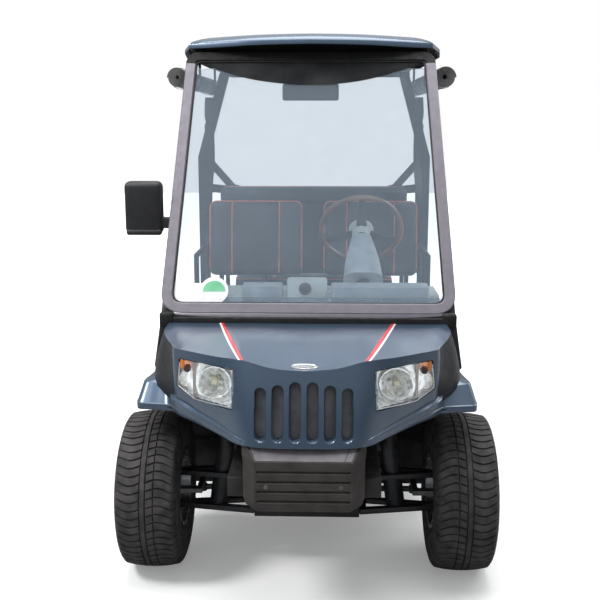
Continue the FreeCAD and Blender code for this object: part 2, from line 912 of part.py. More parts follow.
def make_sills():
    """The rocker along each side, with the panel behind the front wheel."""
    low = floor_top - S.sill_height + S.floor_thick
    high = floor_top + S.floor_thick
    panel = front_axle - S.fender_setback + S.fender_length
    corners = [
        (panel, floor_top),
        (panel, cowl_bottom + S.fender_lip_height),
        (footwell_front + S.sill_width / 2, cowl_bottom + S.fender_lip_height),
        (footwell_front + S.sill_width, high),
        (pod_back, high),
        (pod_back, low),
        (footwell_front, low),
        (footwell_front, floor_top),
    ]
    sill = pad("sill", "yz", corners, S.floor_half_width, S.floor_half_width + S.sill_width)
    beside = block("beside_pod", (0, S.pod_half_width), (pod_front, pod_back), (floor_top, pod_top))
    both_sides("sill_panels", cut("sill_cut", sill, beside))


# Front body

def hood_height(y):
    """The hood's plane at a station."""
    share = (float(y) - float(hood_front)) / float(S.hood_length)
    return float(hood_front_z) + float(S.hood_rise) * share


def ring_points(half, shrink, height):
    """The corners of a level of the cowl, pulled in by a wall."""
    rear = float(hood_rear)
    wide = 1 - shrink / float(S.hood_rear_half_width)
    deep = 1 - shrink / float(S.front_overhang)
    points = []
    for x, y in half:
        points.append((float(x) * wide, rear + (float(y) - rear) * deep))
    points += [(-x, y) for x, y in reversed(points[1:])]
    return [Vector(x, y, height(y)) for x, y in points]


def cowl_loft(shrink, low, drop):
    """The front body's outside, or with a shrink its hollow."""
    rear = float(hood_rear)
    floor_line = [
        (0, nose + S.nose_bow),
        (S.hood_nose_half_width, nose + S.nose_bow * 2),
        (S.lip_corner_half_width, nose + S.nose_bow * 4),
        (S.lip_half_width - S.nose_bow, hood_rear - S.lip_front),
        (S.lip_half_width, hood_rear - S.lip_front + S.nose_bow * 3),
        (S.lip_half_width, hood_rear - S.hood_waist),
        (S.lip_half_width, hood_rear),
    ]
    hood_line = [
        (0, hood_front),
        (S.hood_nose_half_width, hood_front + S.nose_bow),
        (S.hood_turn_half_width, hood_front + S.hood_turn),
        (S.hood_corner_half_width, hood_rear - S.hood_corner),
        (S.hood_waist_half_width - S.nose_bow, hood_rear - (S.hood_corner + S.hood_waist) / 2),
        (S.hood_waist_half_width, hood_rear - S.hood_waist),
        (S.hood_rear_half_width, hood_rear),
    ]
    bottom = ring_points(floor_line, shrink, lambda y: low)
    top = ring_points(hood_line, shrink, lambda y: hood_height(y) - drop)
    wires = [Part.makePolygon(ring + ring[:1]) for ring in (bottom, top)]
    return Part.makeLoft(wires, True, True)


def lamp_prism(gap):
    """The headlamp's outline on the driver's side, as a deep prism."""
    low = float(cowl_bottom) + float(S.lamp_bottom_over_cowl)
    wide = float(S.lamp_width)
    tall = float(S.lamp_height)
    inner = float(S.lamp_inner)
    front = float(nose)
    ring = []
    for across, up, pull_across, pull_up in LAMP_CORNERS:
        ring.append(Vector(inner + wide * across + gap * pull_across, front, low + tall * up + gap * pull_up))
    return Part.Face(Part.makePolygon(ring + ring[:1])).extrude(Vector(0, float(S.front_overhang) * 0.7, 0))


def slot_cutter(index):
    """One upright slot with round ends."""
    wide = float(S.slot_width)
    from_middle = index - (GRILLE_SLOTS - 1) / 2
    x = from_middle * float(S.slot_pitch)
    step = abs(from_middle) - 0.5
    low = float(cowl_bottom) + float(S.slot_bottom_over_cowl)
    high = low + float(S.slot_height) - step * float(S.slot_step)
    front = float(nose)
    deep = float(S.face_lean) * 2
    slot = Part.makeBox(wide, deep, high - low - wide, Vector(x - wide / 2, front, low + wide / 2))
    for z in (low + wide / 2, high - wide / 2):
        slot = slot.fuse(Part.makeCylinder(wide / 2, deep, Vector(x, front, z), ALONG_Y))
    return slot


def make_cowl():
    """The hood and face in one shell, with its slots and lamp openings."""
    wall = float(S.cowl_wall)
    low = float(cowl_bottom)
    outer = cowl_loft(0, low, 0)
    hollow = cowl_loft(wall, low - OVER, wall)
    shell = outer.cut(hollow)
    opening = Part.makeBox(2 * (float(S.hood_rear_half_width) - wall), 2 * wall, float(S.front_overhang),
                           Vector(-float(S.hood_rear_half_width) + wall, float(hood_rear) - wall, low - OVER))
    shell = shell.cut(opening)
    for index in range(GRILLE_SLOTS):
        shell = shell.cut(slot_cutter(index))
    lamps = []
    whole = outer.cut(cowl_loft(float(S.lamp_depth), low - OVER, wall))
    inner_room = cowl_loft(0, low, wall + OVER)
    for side in (1, -1):
        prism = lamp_prism(0)
        lamp = lamp_prism(float(S.lamp_gap)).common(whole).common(inner_room)
        if side < 0:
            prism = flip(prism)
            lamp = flip(lamp)
        shell = shell.cut(prism)
        lamps.append(lamp)
    screen = cowl_loft(wall, low - OVER, wall).cut(cowl_loft(wall * 2, low - OVER, wall))
    margin = float(S.screen_margin)
    half = float(S.slot_pitch) * GRILLE_SLOTS / 2 + margin
    gate = Part.makeBox(2 * half, float(S.face_lean) * 3, float(hood_front_z) - low - 2 * margin,
                        Vector(-half, float(nose), low + margin))
    keep(shape("front_cowl", shell), "front_cowl")
    keep(shape("headlamps", together(lamps)), "headlamps")
    keep(shape("grille_insert", screen.common(gate)), "grille_insert")
    return outer


def make_front_fenders(cowl, frame):
    """The flares over the front wheels, closed at their fronts."""
    lip = float(cowl_bottom) + float(S.fender_lip_height) / 2
    outer = float(S.fender_half_width)
    inner = float(S.hood_corner_half_width)
    thick = float(S.fender_thick)
    tip = lip + float(S.fender_lip_height)
    high = float(hood_front_z) + float(S.fender_root_rise)
    front = float(front_axle) - float(S.fender_setback)
    length = float(S.fender_length)
    skin = [
        (inner, high), (outer, tip), (outer, lip), (outer - thick, lip),
        (outer - thick, tip - thick / 2), (inner, high - thick * 1.25),
    ]
    cap = [(inner, high), (outer, tip), (outer, lip), (inner, lip - thick)]
    solids = []
    for corners, deep in ((skin, length), (cap, thick)):
        ring = [Vector(x, front, z) for x, z in corners]
        solids.append(Part.Face(Part.makePolygon(ring + ring[:1])).extrude(Vector(0, deep, 0)))
    dash = Part.makeBox(float(S.dash_half_width), length, high, Vector(0, float(hood_rear), 0))
    fender = solids[0].fuse(solids[1]).cut(cowl).cut(dash).cut(frame)
    fender = max(fender.Solids, key=lambda solid: solid.Volume)
    keep(shape("front_fenders", together([fender, flip(fender)])), "front_fenders")


def make_bumper():
    """A moulded block with a sloping ledge and level grooves."""
    half = S.bumper_half_width
    low = cowl_bottom - S.bumper_height
    back = nose + S.bumper_depth
    corners = [
        (nose + S.bumper_ledge, cowl_bottom),
        (nose, cowl_bottom - S.bumper_ledge),
        (nose, low),
        (back, low),
        (back, cowl_bottom),
    ]
    body = pad("bumper", "yz", corners, -half, half)
    grooves = []
    wide = S.bumper_groove_half_width
    for index in range(BUMPER_GROOVES):
        high = cowl_bottom - S.bumper_ledge - S.bumper_groove_drop - S.bumper_groove_pitch * index
        grooves.append(block(f"groove_{index}", (-wide, wide),
                             (nose, nose + S.bumper_groove), (high - S.bumper_groove, high)))
    keep(cut("bumper_cut", body, fuse("grooves", grooves)), "front_bumper")


def make_dash():
    """The dash with two cubbies, two cup holders and a windshield shelf."""
    half = S.dash_half_width
    corners = [
        (hood_rear, dash_low),
        (hood_rear, dash_shelf),
        (windshield_foot + S.dash_shelf_depth, dash_shelf),
        (windshield_foot + S.dash_slope_depth, dash_top),
        (dash_rear, dash_top),
        (dash_rear, dash_low),
    ]
    body = pad("dash", "yz", corners, -half, half)
    holes = []
    cubby_top = dash_top - S.cubby_height
    for name, x in (("cubby_left", S.cubby_x), ("cubby_right", -S.cubby_x)):
        holes.append(block(name, (x - S.cubby_width / 2, x + S.cubby_width / 2),
                           (dash_rear - S.cubby_depth, dash_rear + OVER),
                           (cubby_top - S.cubby_height, cubby_top)))
    for name, x in (("cup_left", S.cup_x), ("cup_right", -S.cup_x)):
        holes.append(rod(name, "z", S.cup_radius, dash_top - S.cup_depth, S.cup_depth + OVER,
                         x=x, y=dash_rear - S.cup_radius * 1.5))
    return keep(cut("dash_cut", body, group("dash_holes", holes)), "dash_panel")


def make_pedals(floor):
    """Two hanging pads on short arms from the toe board."""
    solids = []
    tall = float(S.pedal_height)
    wide = float(S.pedal_width)
    thick = float(S.pedal_thick)
    low = float(floor_top) + tall * 0.6
    y = float(footwell_front) - thick
    for x, width in ((float(S.wheel_x) - wide, wide), (float(S.wheel_x) + wide / 3, wide * 0.7)):
        plate = Part.makeBox(width, thick, tall, Vector(x, y, low))
        arm = Part.makeBox(thick, tall * 1.5, thick, Vector(x + width / 2, y - tall * 1.5, low + tall / 2))
        solids.append(plate.fuse(arm).cut(floor.Shape))
    solids = [max(solid.Solids, key=lambda part: part.BoundBox.YMax) for solid in solids]
    keep(shape("pedals", together(solids)), "pedals")


# Windshield

def windshield_plate(corners, front, back):
    """A plate in the windshield's sloping plane; corners are (x, height along it)."""
    rise = float(S.windshield_height)
    lean = float(S.windshield_lean)
    ring = [Vector(x, front, up) for x, up in corners]
    plate = Part.Face(Part.makePolygon(ring + ring[:1])).extrude(Vector(0, back - front, 0))
    plate.rotate(Vector(), ALONG_X, -math.degrees(math.atan2(lean, rise)))
    plate.translate(point(0, windshield_foot, dash_shelf))
    return plate


def make_windshield():
    """A tube frame with legs beside the cowl, and its one pane."""
    length = math.hypot(float(S.windshield_height), float(S.windshield_lean))
    foot = float(S.windshield_foot_half_width)
    head = float(S.windshield_head_half_width)
    bar_width = float(S.pillar_width)
    thick = float(S.pillar_thick)
    leg = float(S.windshield_leg)

    def half_at(up):
        return foot + (head - foot) * up / length

    outer = [(-foot, 0), (foot, 0), (head, length), (-head, length)]
    low_in = half_at(bar_width) - bar_width
    high_in = half_at(length - bar_width) - bar_width
    inner = [
        (-low_in, bar_width), (low_in, bar_width),
        (high_in, length - bar_width), (-high_in, length - bar_width),
    ]
    frame = windshield_plate(outer, -thick, 0).cut(windshield_plate(inner, -thick - OVER, OVER))
    for side in (-1, 1):
        corners = [
            (side * (foot - bar_width), 0), (side * foot, 0),
            (side * foot, -leg), (side * (foot - bar_width), -leg),
        ]
        frame = frame.fuse(windshield_plate(corners, -thick, 0))
    middle = -thick / 2
    half = float(S.glass_thick) / 2
    keep(shape("windshield_frame", frame.removeSplitter()), "windshield_frame")
    keep(shape("windshield_glass", windshield_plate(inner, middle - half, middle + half)), "windshield_glass")
    return frame


def make_mirrors(frame):
    """The rear-view mirror under the roof, and the one on the off side."""
    wide = float(S.mirror_width)
    tall = float(S.mirror_height)
    thick = float(S.mirror_thick)
    roof = float(roof_z) - float(S.roof_rail_height)
    y = float(windshield_head) - thick / 4
    low = roof - tall - float(S.mirror_drop)
    inside = Part.makeBox(wide, thick, tall, Vector(-wide / 2, y, low))
    stem = Part.makeCylinder(thick / 4, roof - low - tall / 2, Vector(0, y + thick / 2, low + tall / 2))
    solids = [inside.fuse(stem)]
    wide = float(S.side_mirror_width)
    tall = float(S.side_mirror_height)
    thick = float(S.side_mirror_thick)
    low = float(floor_top) + float(S.side_mirror_over_floor)
    edge = float(S.windshield_foot_half_width) + float(S.pillar_thick) / 2
    share = (low + tall / 2 - float(dash_shelf)) / float(S.windshield_height)
    y = float(windshield_foot) + float(S.windshield_lean) * share - thick
    case = Part.makeBox(wide, thick, tall, Vector(-edge - wide, y, low))
    reach = float(S.pillar_width) + float(S.pillar_thick) / 2
    arm = Part.makeBox(reach, thick / 2, thick / 2, Vector(-edge - OVER, y + thick / 4, low + thick / 3))
    case = case.fuse(arm).cut(frame)
    case = min(case.Solids, key=lambda solid: solid.BoundBox.XMin)
    solids.append(case)
    keep(shape("mirrors", together(solids)), "mirrors")


# Roof

def roof_ring(shrink, height):
    front = float(roof_front)
    back = front + float(S.roof_length) - shrink
    narrow = float(S.roof_front_half_width) - shrink
    wide = float(S.roof_half_width) - shrink
    bow = float(S.roof_front_bow)
    swell = front + float(S.roof_widening)
    corner = float(S.roof_corner)
    half = [
        (0, front + shrink),
        (narrow / 2, front + bow / 4 + shrink),
        (narrow, front + bow + shrink),
        ((narrow + wide) / 2 + float(S.roof_shoulder), front + (bow + float(S.roof_widening)) / 2),
        (wide, swell),
        (wide, back - corner),
        (wide - corner, back),
    ]
    ring = [Vector(x, y, height) for x, y in half]
    ring += [Vector(-v.x, v.y, height) for v in reversed(ring[1:])]
    return Part.makePolygon(ring + ring[:1])


def make_roof(frame):
    """A crowned shell, the rails below it and the struts that carry it."""
    low = float(roof_z)
    tall = float(S.roof_thick)
    wall = float(S.roof_wall)
    lip = float(S.roof_lip)
    levels = [(0, low), (0, low + lip), (lip * 1.5, low + tall)]
    outer = Part.makeLoft([roof_ring(shrink, z) for shrink, z in levels], True, True)
    inner = Part.makeLoft([roof_ring(wall, low - OVER), roof_ring(wall, low + lip - wall),
                           roof_ring(lip * 1.5 + wall, low + tall - wall)], True, True)
    roof = outer.cut(inner)
    keep(shape("roof_shell", roof), "roof_shell")

    inset = S.roof_rail_width / 2
    rail_low = roof_z - S.roof_rail_height
    first = windshield_head - S.roof_rail_width / 2
    last = roof_front + S.roof_length - S.roof_rail_width * 2
    rails = []
    spots = (("roof_rail_left", S.roof_rail_half_spacing), ("roof_rail_right", -S.roof_rail_half_spacing))
    top = roof_z + S.roof_lip - S.roof_wall
    for name, x in spots:
        rails.append(block(name, (x - inset, x + inset), (first, last), (rail_low, top)))
    side = S.roof_rail_half_spacing + inset
    for name, y in (("roof_bar_front", first), ("roof_bar_middle", strut_y + S.strut_width / 2),
                    ("roof_bar_back", last - S.roof_rail_width)):
        rails.append(block(name, (-side, side), (y, y + S.roof_rail_width), (rail_low, top)))
    doc.recompute()
    joined = rails[0].Shape.multiFuse([rail.Shape for rail in rails[1:]])
    joined = joined.cut(roof).cut(frame)
    joined = max(joined.Solids, key=lambda solid: solid.Volume)
    keep(shape("roof_rails", joined.removeSplitter()), "roof_rails")

    half = float(S.strut_width) / 2
    x_low = float(S.strut_half_spacing)
    x_high = float(S.roof_rail_half_spacing)
    y = float(strut_y)
    bend = float(floor_top) + float(S.strut_bend_over_floor)
    head = float(rail_low)
    foot = float(floor_top) + float(S.floor_thick)
    corners = [
        (x_low - half, foot), (x_low + half, foot), (x_low + half, bend),
        (x_high + half, head), (x_high - half, head), (x_low - half, bend),
    ]
    ring = [Vector(x, y - half, z) for x, z in corners]
    strut = Part.Face(Part.makePolygon(ring + ring[:1])).extrude(Vector(0, 2 * half, 0))
    reach = x_low - half - float(S.pod_half_width)
    pad_low = float(pod_top) - 4 * half
    plate = Part.makeBox(reach + OVER, 2 * half, 3 * half, Vector(float(S.pod_half_width), y - half, pad_low))
    strut = strut.fuse(plate)
    keep(shape("roof_struts", together([strut, flip(strut)])), "roof_struts")


def make_curtains():
    """Rolled side curtains hung under the roof's edges by straps."""
    radius = float(S.curtain_radius)
    x = float(S.roof_rail_half_spacing) + float(S.curtain_beside_rail)
    front = float(windshield_head)
    length = float(S.curtain_length)
    z = float(roof_z) - float(S.roof_rail_height) * 2 - radius / 2
    roll = Part.makeCylinder(radius, length, Vector(x, front, z), ALONG_Y)
    wide = radius / 2
    for share in STRAP_PLACES:
        strap = Part.makeBox(wide, wide, float(roof_z) - z, Vector(x - wide / 2, front + length * share, z))
        roll = roll.fuse(strap)
    keep(shape("curtain_rolls", together([roll, flip(roll)])), "curtain_rolls")


# Seats and rear body

def make_seat_pod():
    """The box under the front bench, open under the cushion."""
    half = S.pod_half_width
    wall = S.pod_wall
    box = block("pod_outside", (-half, half), (pod_front, pod_back), (floor_top, pod_top))
    room = block("pod_inside", (-half + wall, half - wall), (pod_front + wall, pod_back - wall),
                 (floor_top, pod_top - wall))
    hatch = block("pod_hatch", (-half + wall, half - wall), (pod_front + wall, cushion_back - wall),
                  (floor_top, pod_top))
    keep(cut("pod_cut", box, fuse("pod_space", [room, hatch])), "seat_pod")


def make_front_cushion():
    low = pod_top + S.seat_gap
    front = cushion_back - S.cushion_length
    half = S.cushion_half_width
    corners = [(front, low), (cushion_back, low), (cushion_back, cushion_top), (front, cushion_top)]
    body = pad("front_cushion", "yz", corners, -half, half)
    keep(rounded(body, S.cushion_round), "front_seat_cushion")


def make_seat_backs():
    """Two front backs, one wide rear-facing back and the frame between."""
    low = cushion_top + S.back_over_cushion
    high = low + S.back_height
    inner = S.back_split / 2
    corners = [
        (back_foot, low),
        (back_foot + S.back_thick, low),
        (back_foot + S.back_thick + S.back_lean, high),
        (back_foot + S.back_lean, high),
    ]
    back = pad("front_back", "yz", corners, inner, inner + S.back_width)
    both_sides("front_seat_backs", rounded(back, S.cushion_round))

    rear_face = rear_seat_front
    rear_high = low + S.rear_back_height
    corners = [
        (rear_face, low),
        (rear_face - S.rear_back_lean, rear_high),
        (rear_face - S.rear_back_lean - S.rear_back_thick, rear_high),
        (rear_face - S.rear_back_thick, low),
    ]
    half = S.rear_back_half_width
    keep(rounded(pad("rear_back", "yz", corners, -half, half), S.cushion_round), "rear_seat_back")

    share = 0.8
    gap = S.seat_gap
    plate_high = low + S.back_height * share
    front_at = back_foot + S.back_thick + gap
    rear_at = rear_face - S.rear_back_thick - gap
    corners = [
        (front_at, pod_top),
        (rear_at, pod_top),
        (rear_at, low),
        (rear_at - S.rear_back_lean * share, plate_high),
        (front_at + S.back_lean * share, plate_high),
        (front_at, low),
    ]
    tube = S.seat_frame_tube
    plate = pad("back_plate", "yz", corners, S.rear_back_half_width / 2, S.rear_back_half_width / 2 + tube)
    doc.recompute()
    plates = [plate.Shape, flip(plate.Shape)]
    x = float(S.pod_half_width) + float(S.hip_tube) + float(S.seat_gap)
    high = float(pod_top) + float(S.hip_rail_height)
    foot = high - float(S.hip_rail_height) * 1.4
    y = float(pod_front) + float(S.pod_length) * 0.25
    back = float(strut_y) - float(S.strut_width) * 2.5
    hoops = []
    rear_x = (float(rear_body_half) + float(rear_cushion_half)) / 2
    rear_y = float(pod_back) + float(S.rear_hoop_front)
    rear_end = float(pod_back) + float(S.rear_body_length) - float(S.rear_hoop_back)
    stretches = ((x, y, back, foot), (rear_x, rear_y, rear_end, float(pod_top)))
    for x, y, back, foot in stretches:
        hoop = tube_run([Vector(x, y, foot), Vector(x, y, high), Vector(x, back, high), Vector(x, back, foot)],
                        S.hip_tube)
        hoops += [hoop, flip(hoop)]
    keep(shape("seat_frame", together(plates + hoops)), "seat_frame")


def make_rear_body():
    """The painted tub between the rear wheels, and its flares."""
    half = rear_body_half
    wall = S.pod_wall
    inner = tyre_inner - S.tyre_shoulder / 2
    back = pod_back + S.rear_body_length
    low = pod_top - S.rear_body_height
    slab = block("rear_slab", (-half, half), (pod_back, back), (low, pod_top))
    tub = block("rear_tub", (-inner, inner), (pod_back, back), (arch_top, low))
    room = block("rear_room", (-inner + wall, inner - wall), (pod_back + wall, back - wall),
                 (arch_top - OVER, pod_top - wall))
    doc.recompute()
    radius = S.tyre_radius + S.fender_gap
    skin = radius + S.rear_fender_wall
    x = float(inner)
    reach = float(tyre_inner) + float(S.tyre_width) - float(S.rear_fender_reach) / 2 - x
    centre = Vector(x, float(rear_axle), float(axle_z))
    drum = Part.makeCylinder(float(skin), reach, centre, ALONG_X)
    well = Part.makeCylinder(float(radius), reach, centre, ALONG_X)
    below = 2 * float(skin)
    low_side = Part.makeBox(reach, 2 * below, below + float(S.rear_fender_lift),
                            Vector(x, float(rear_axle) - below, float(axle_z) - below))
    fender = drum.cut(well).cut(low_side)
    body = slab.Shape.fuse(tub.Shape).cut(room.Shape).cut(drum).cut(flip(drum))
    keep(shape("rear_body", body.removeSplitter()), "rear_body")
    keep(shape("rear_fenders", together([fender, flip(fender)])), "rear_fenders")


def make_rear_cushion():
    """The flip seat: its board, and the cushion on it."""
    half = rear_cushion_half
    low = pod_top + S.seat_gap
    front = rear_seat_front + S.back_behind_cushion / 4
    back = pod_back + S.rear_body_length + S.rear_hinge_reach
    board = block("rear_board", (-half, half), (front, back), (low, low + S.rear_board_thick))
    edge = S.rear_board_edge
    cushion = block("rear_pad", (-half + edge, half - edge), (front + edge, back - edge),
                    (low + S.rear_board_thick, low + S.rear_board_thick + S.rear_cushion_thick))
    keep(fuse("rear_cushion_parts", [board, cushion]), "rear_seat_cushion")


def make_foot_deck():
    """The rear step on two hangers, with a low hoop at its end."""
    half = S.foot_deck_half_width
    top = floor_top + S.foot_deck_over_floor
    front = tail - S.foot_deck_length
    back_rail = rear_axle + S.rail_rear_reach
    deck = block("deck", (-half, half), (front, tail), (top - S.foot_deck_thick, top))
    parts = [deck]
    for name, x in (("hanger_left", S.rail_spacing / 2), ("hanger_right", -(S.rail_spacing / 2))):
        parts.append(block(name, (x - S.rail_width / 2, x + S.rail_width / 2),
                           (front, back_rail), (top, arch_z)))
    doc.recompute()
    joined = parts[0].Shape
    for piece in parts[1:]:
        joined = joined.fuse(piece.Shape)
    hoop_x = float(half) / 2
    y = float(tail) - float(S.hip_tube) * 1.5
    high = float(top) + float(S.foot_hoop_height)
    hoop = tube_run([Vector(-hoop_x, y, float(top) - OVER), Vector(-hoop_x, y, high),
                     Vector(hoop_x, y, high), Vector(hoop_x, y, float(top) - OVER)], S.hip_tube)
    keep(shape("foot_deck", joined.fuse(hoop).removeSplitter()), "foot_deck")


def make_tail_lamps():
    back = pod_back + S.rear_body_length
    outer = rear_body_half - S.tail_lamp_inset
    middle = pod_top - S.rear_body_height / 2
    lamp = block("tail_lamp", (outer - S.tail_lamp_width, outer), (back, back + S.tail_lamp_depth),
                 (middle - S.tail_lamp_height / 2, middle + S.tail_lamp_height / 2))
    both_sides("tail_lamps", lamp)


rear_seat_front = pod_back + S.rear_seat_setback

frame_rails = make_frame()
make_front_axle()
rod_y, rod_z = make_steering_linkage()
make_steering_wheel()
make_wheels()
make_rear_axle()
make_rear_suspension()
floor_piece = make_floor(frame_rails)
make_battery()
make_sills()
cowl_outside = make_cowl()
frame_solid = make_windshield()
make_front_fenders(cowl_outside, frame_solid)
make_bumper()
dash_piece = make_dash()
doc.recompute()
make_steering_gear(rod_y, rod_z, dash_piece)
make_pedals(floor_piece)
make_mirrors(frame_solid)
make_roof(frame_solid)
make_curtains()
make_seat_pod()
make_front_cushion()
make_seat_backs()
make_rear_body()
make_rear_cushion()
make_foot_deck()
make_tail_lamps()

doc.recompute()
for thing in doc.Objects:
    for bad in ("Invalid", "Error"):
        if bad in thing.State:
            raise RuntimeError(f"{thing.Label} is {thing.State}")
for piece in PIECES:
    if piece.Shape.isNull() or not piece.Shape.isValid():
        raise RuntimeError(f"{piece.Label} has no valid shape")

os.makedirs("parts", exist_ok=True)
for piece in PIECES:
    piece.Shape.exportStep(f"parts/{piece.Label}.step")
print(len(PIECES), "sub-parts written")
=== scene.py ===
import math
from collections import namedtuple

import bmesh
import bpy
from mathutils import Matrix, Vector, noise


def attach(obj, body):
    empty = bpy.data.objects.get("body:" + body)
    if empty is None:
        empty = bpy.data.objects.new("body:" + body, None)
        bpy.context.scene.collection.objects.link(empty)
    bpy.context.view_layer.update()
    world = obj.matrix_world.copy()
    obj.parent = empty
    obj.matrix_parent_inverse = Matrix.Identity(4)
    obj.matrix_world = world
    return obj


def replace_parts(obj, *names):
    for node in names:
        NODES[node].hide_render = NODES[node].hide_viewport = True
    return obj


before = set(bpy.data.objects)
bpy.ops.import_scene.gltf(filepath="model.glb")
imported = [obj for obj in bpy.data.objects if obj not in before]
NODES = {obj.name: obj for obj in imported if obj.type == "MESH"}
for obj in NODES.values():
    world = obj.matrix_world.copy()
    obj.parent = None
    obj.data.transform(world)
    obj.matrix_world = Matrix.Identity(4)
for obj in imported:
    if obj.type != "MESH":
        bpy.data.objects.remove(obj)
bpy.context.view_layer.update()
SCENE = bpy.context.scene
SIDES = (1, -1)
UP = Vector((0, 0, 1))
ACROSS = Vector((1, 0, 0))
REARWARD = Vector((0, 1, 0))
# What lies closer than this is one point, and what turns by less than this is one face.
SAME_POINT = 1e-5
SAME_FACE = math.radians(1)
# An edge that turns by more than this is rounded.
TURNING_EDGE = math.radians(30)
# The most that a block's edges are eased, as a share of its thinnest side.
WIDEST_EASE = 0.45


# Small tools for shaping

def srgb(red, green, blue):
    """A colour as it is seen on a screen, as the numbers a shader takes."""
    shares = [value / 255 for value in (red, green, blue)]
    return [share / 12.92 if share < 0.04 else ((share + 0.055) / 1.055) ** 2.4 for share in shares] + [1]


def eased(share):
    """A smooth step from 0 to 1."""
    share = min(max(share, 0.0), 1.0)
    return share * share * (3 - 2 * share)


def between(a, b, share):
    return a + (b - a) * share


def smooth_at(points, place):
    """The point at a place, counted in points, on a smooth line through them."""
    last = len(points) - 1
    place = min(max(place, 0.0), float(last))
    index = min(int(place), last - 1)
    share = place - index
    here, there = Vector(points[index]), Vector(points[index + 1])
    before = Vector(points[index - 1]) if index else here * 2 - there
    after = Vector(points[index + 2]) if index + 2 <= last else there * 2 - here
    pull_here, pull_there = (there - before) / 2, (after - here) / 2
    square, cube = share ** 2, share ** 3
    return (here * (2 * cube - 3 * square + 1) + pull_here * (cube - 2 * square + share)
            + there * (3 * square - 2 * cube) + pull_there * (cube - square))


def smooth_line(points, steps):
    count = steps * (len(points) - 1)
    return [smooth_at(points, place / steps) for place in range(count + 1)]


def rounded_path(points, radius, steps=6):
    """Straight runs with an arc at each corner."""
    points = [Vector(p) for p in points]
    path = [points[0]]
    for before, corner, after in zip(points, points[1:], points[2:]):
        reach = min(radius, (before - corner).length / 2, (after - corner).length / 2)
        start = corner + (before - corner).normalized() * reach
        end = corner + (after - corner).normalized() * reach
        for step in range(steps + 1):
            share = step / steps
            path.append(start.lerp(corner, share).lerp(corner.lerp(end, share), share))
    return path + [points[-1]]


def ring(bm, points):
    verts = [bm.verts.new(p) for p in points]
    return [bm.edges.new(pair) for pair in zip(verts, verts[1:] + verts[:1])]


def skin(bm, rings, capped=True, joined=False):
    """Walls from ring to ring, with the ends closed, left open or joined to each other."""
    loops = [ring(bm, points) for points in rings]
    pairs = list(zip(loops, loops[1:]))
    if joined:
        pairs.append((loops[-1], loops[0]))
    for low, high in pairs:
        bmesh.ops.bridge_loops(bm, edges=low + high)
    if capped and not joined:
        for loop in (loops[0], loops[-1]):
            bmesh.ops.contextual_create(bm, geom=loop)
    bmesh.ops.recalc_face_normals(bm, faces=bm.faces)


def plate(bm, points, push):
    """A flat outline pushed out into a solid."""
    push = Vector(push)
    skin(bm, [points, [Vector(p) + push for p in points]])


def block(bm, low, high, edge=0.0, segments=3):
    """A box between two corners, with its edges eased."""
    low, high = Vector(low), Vector(high)
    made = bmesh.ops.create_cube(bm, size=1)["verts"]
    size = high - low
    bmesh.ops.scale(bm, vec=size, verts=made)
    bmesh.ops.translate(bm, vec=(low + high) / 2, verts=made)
    if edge:
        edges = list({e for v in made for e in v.link_edges})
        bmesh.ops.bevel(bm, geom=edges, offset=min(edge, min(size) * WIDEST_EASE),
                        segments=segments, profile=0.5, affect="EDGES", material=-1)


def turned(bm, profile, centre, axis, steps=48):
    """A profile of (along the axis, radius) turned about the axis."""
    axis = Vector(axis).normalized()
    out = axis.orthogonal().normalized()
    centre = Vector(centre)
    verts = [bm.verts.new(centre + axis * along + out * radius) for along, radius in profile]
    edges = [bm.edges.new(pair) for pair in zip(verts, verts[1:])]
    before = set(bm.verts)
    bmesh.ops.spin(bm, geom=verts + edges, cent=centre, axis=axis, angle=math.tau,
                   steps=steps, use_merge=True)
    made = [v for v in bm.verts if v not in before] + verts
    bmesh.ops.remove_doubles(bm, verts=[v for v in made if v.is_valid], dist=SAME_POINT)
    bmesh.ops.recalc_face_normals(bm, faces=bm.faces)


def tube(bm, points, radius, sides=4, closed=False):
    """A round bar along a path."""
    line = bpy.data.curves.new("path", "CURVE")
    line.dimensions = "3D"
    line.bevel_depth = radius
    line.bevel_resolution = sides
    line.use_fill_caps = not closed
    run = line.splines.new("POLY")
    run.points.add(len(points) - 1)
    for spot, place in zip(run.points, points):
        spot.co = (*place, 1)
    run.use_cyclic_u = closed
    holder = bpy.data.objects.new("path", line)
    mesh = bpy.data.meshes.new_from_object(holder)
    bm.from_mesh(mesh)
    bpy.data.objects.remove(holder)
    bpy.data.curves.remove(line)
    bpy.data.meshes.remove(mesh)


def circle(centre, axis, radius, steps=48):
    """Points round a circle."""
    axis = Vector(axis).normalized()
    out = axis.orthogonal().normalized() * radius
    turns = [Matrix.Rotation(math.tau * step / steps, 3, axis) for step in range(steps)]
    return [Vector(centre) + turn @ out for turn in turns]


def mapped_grid(bm, columns, rows, place):
    """A grid whose points go where place(across, along) says, each from 0 to 1."""
    made = bmesh.ops.create_grid(bm, x_segments=columns, y_segments=rows, size=0.5)["verts"]
    for vert in made:
        vert.co = place(vert.co.x + 0.5, vert.co.y + 0.5)
    return made


def mirrored(bm):
    """Adds the same shape on the other side of the cart."""
    bmesh.ops.recalc_face_normals(bm, faces=bm.faces)
    copy = bmesh.ops.duplicate(bm, geom=list(bm.verts) + list(bm.edges) + list(bm.faces))["geom"]
    verts = [part for part in copy if isinstance(part, bmesh.types.BMVert)]
    faces = [part for part in copy if isinstance(part, bmesh.types.BMFace)]
    bmesh.ops.scale(bm, vec=(-1, 1, 1), verts=verts)
    bmesh.ops.reverse_faces(bm, faces=faces)


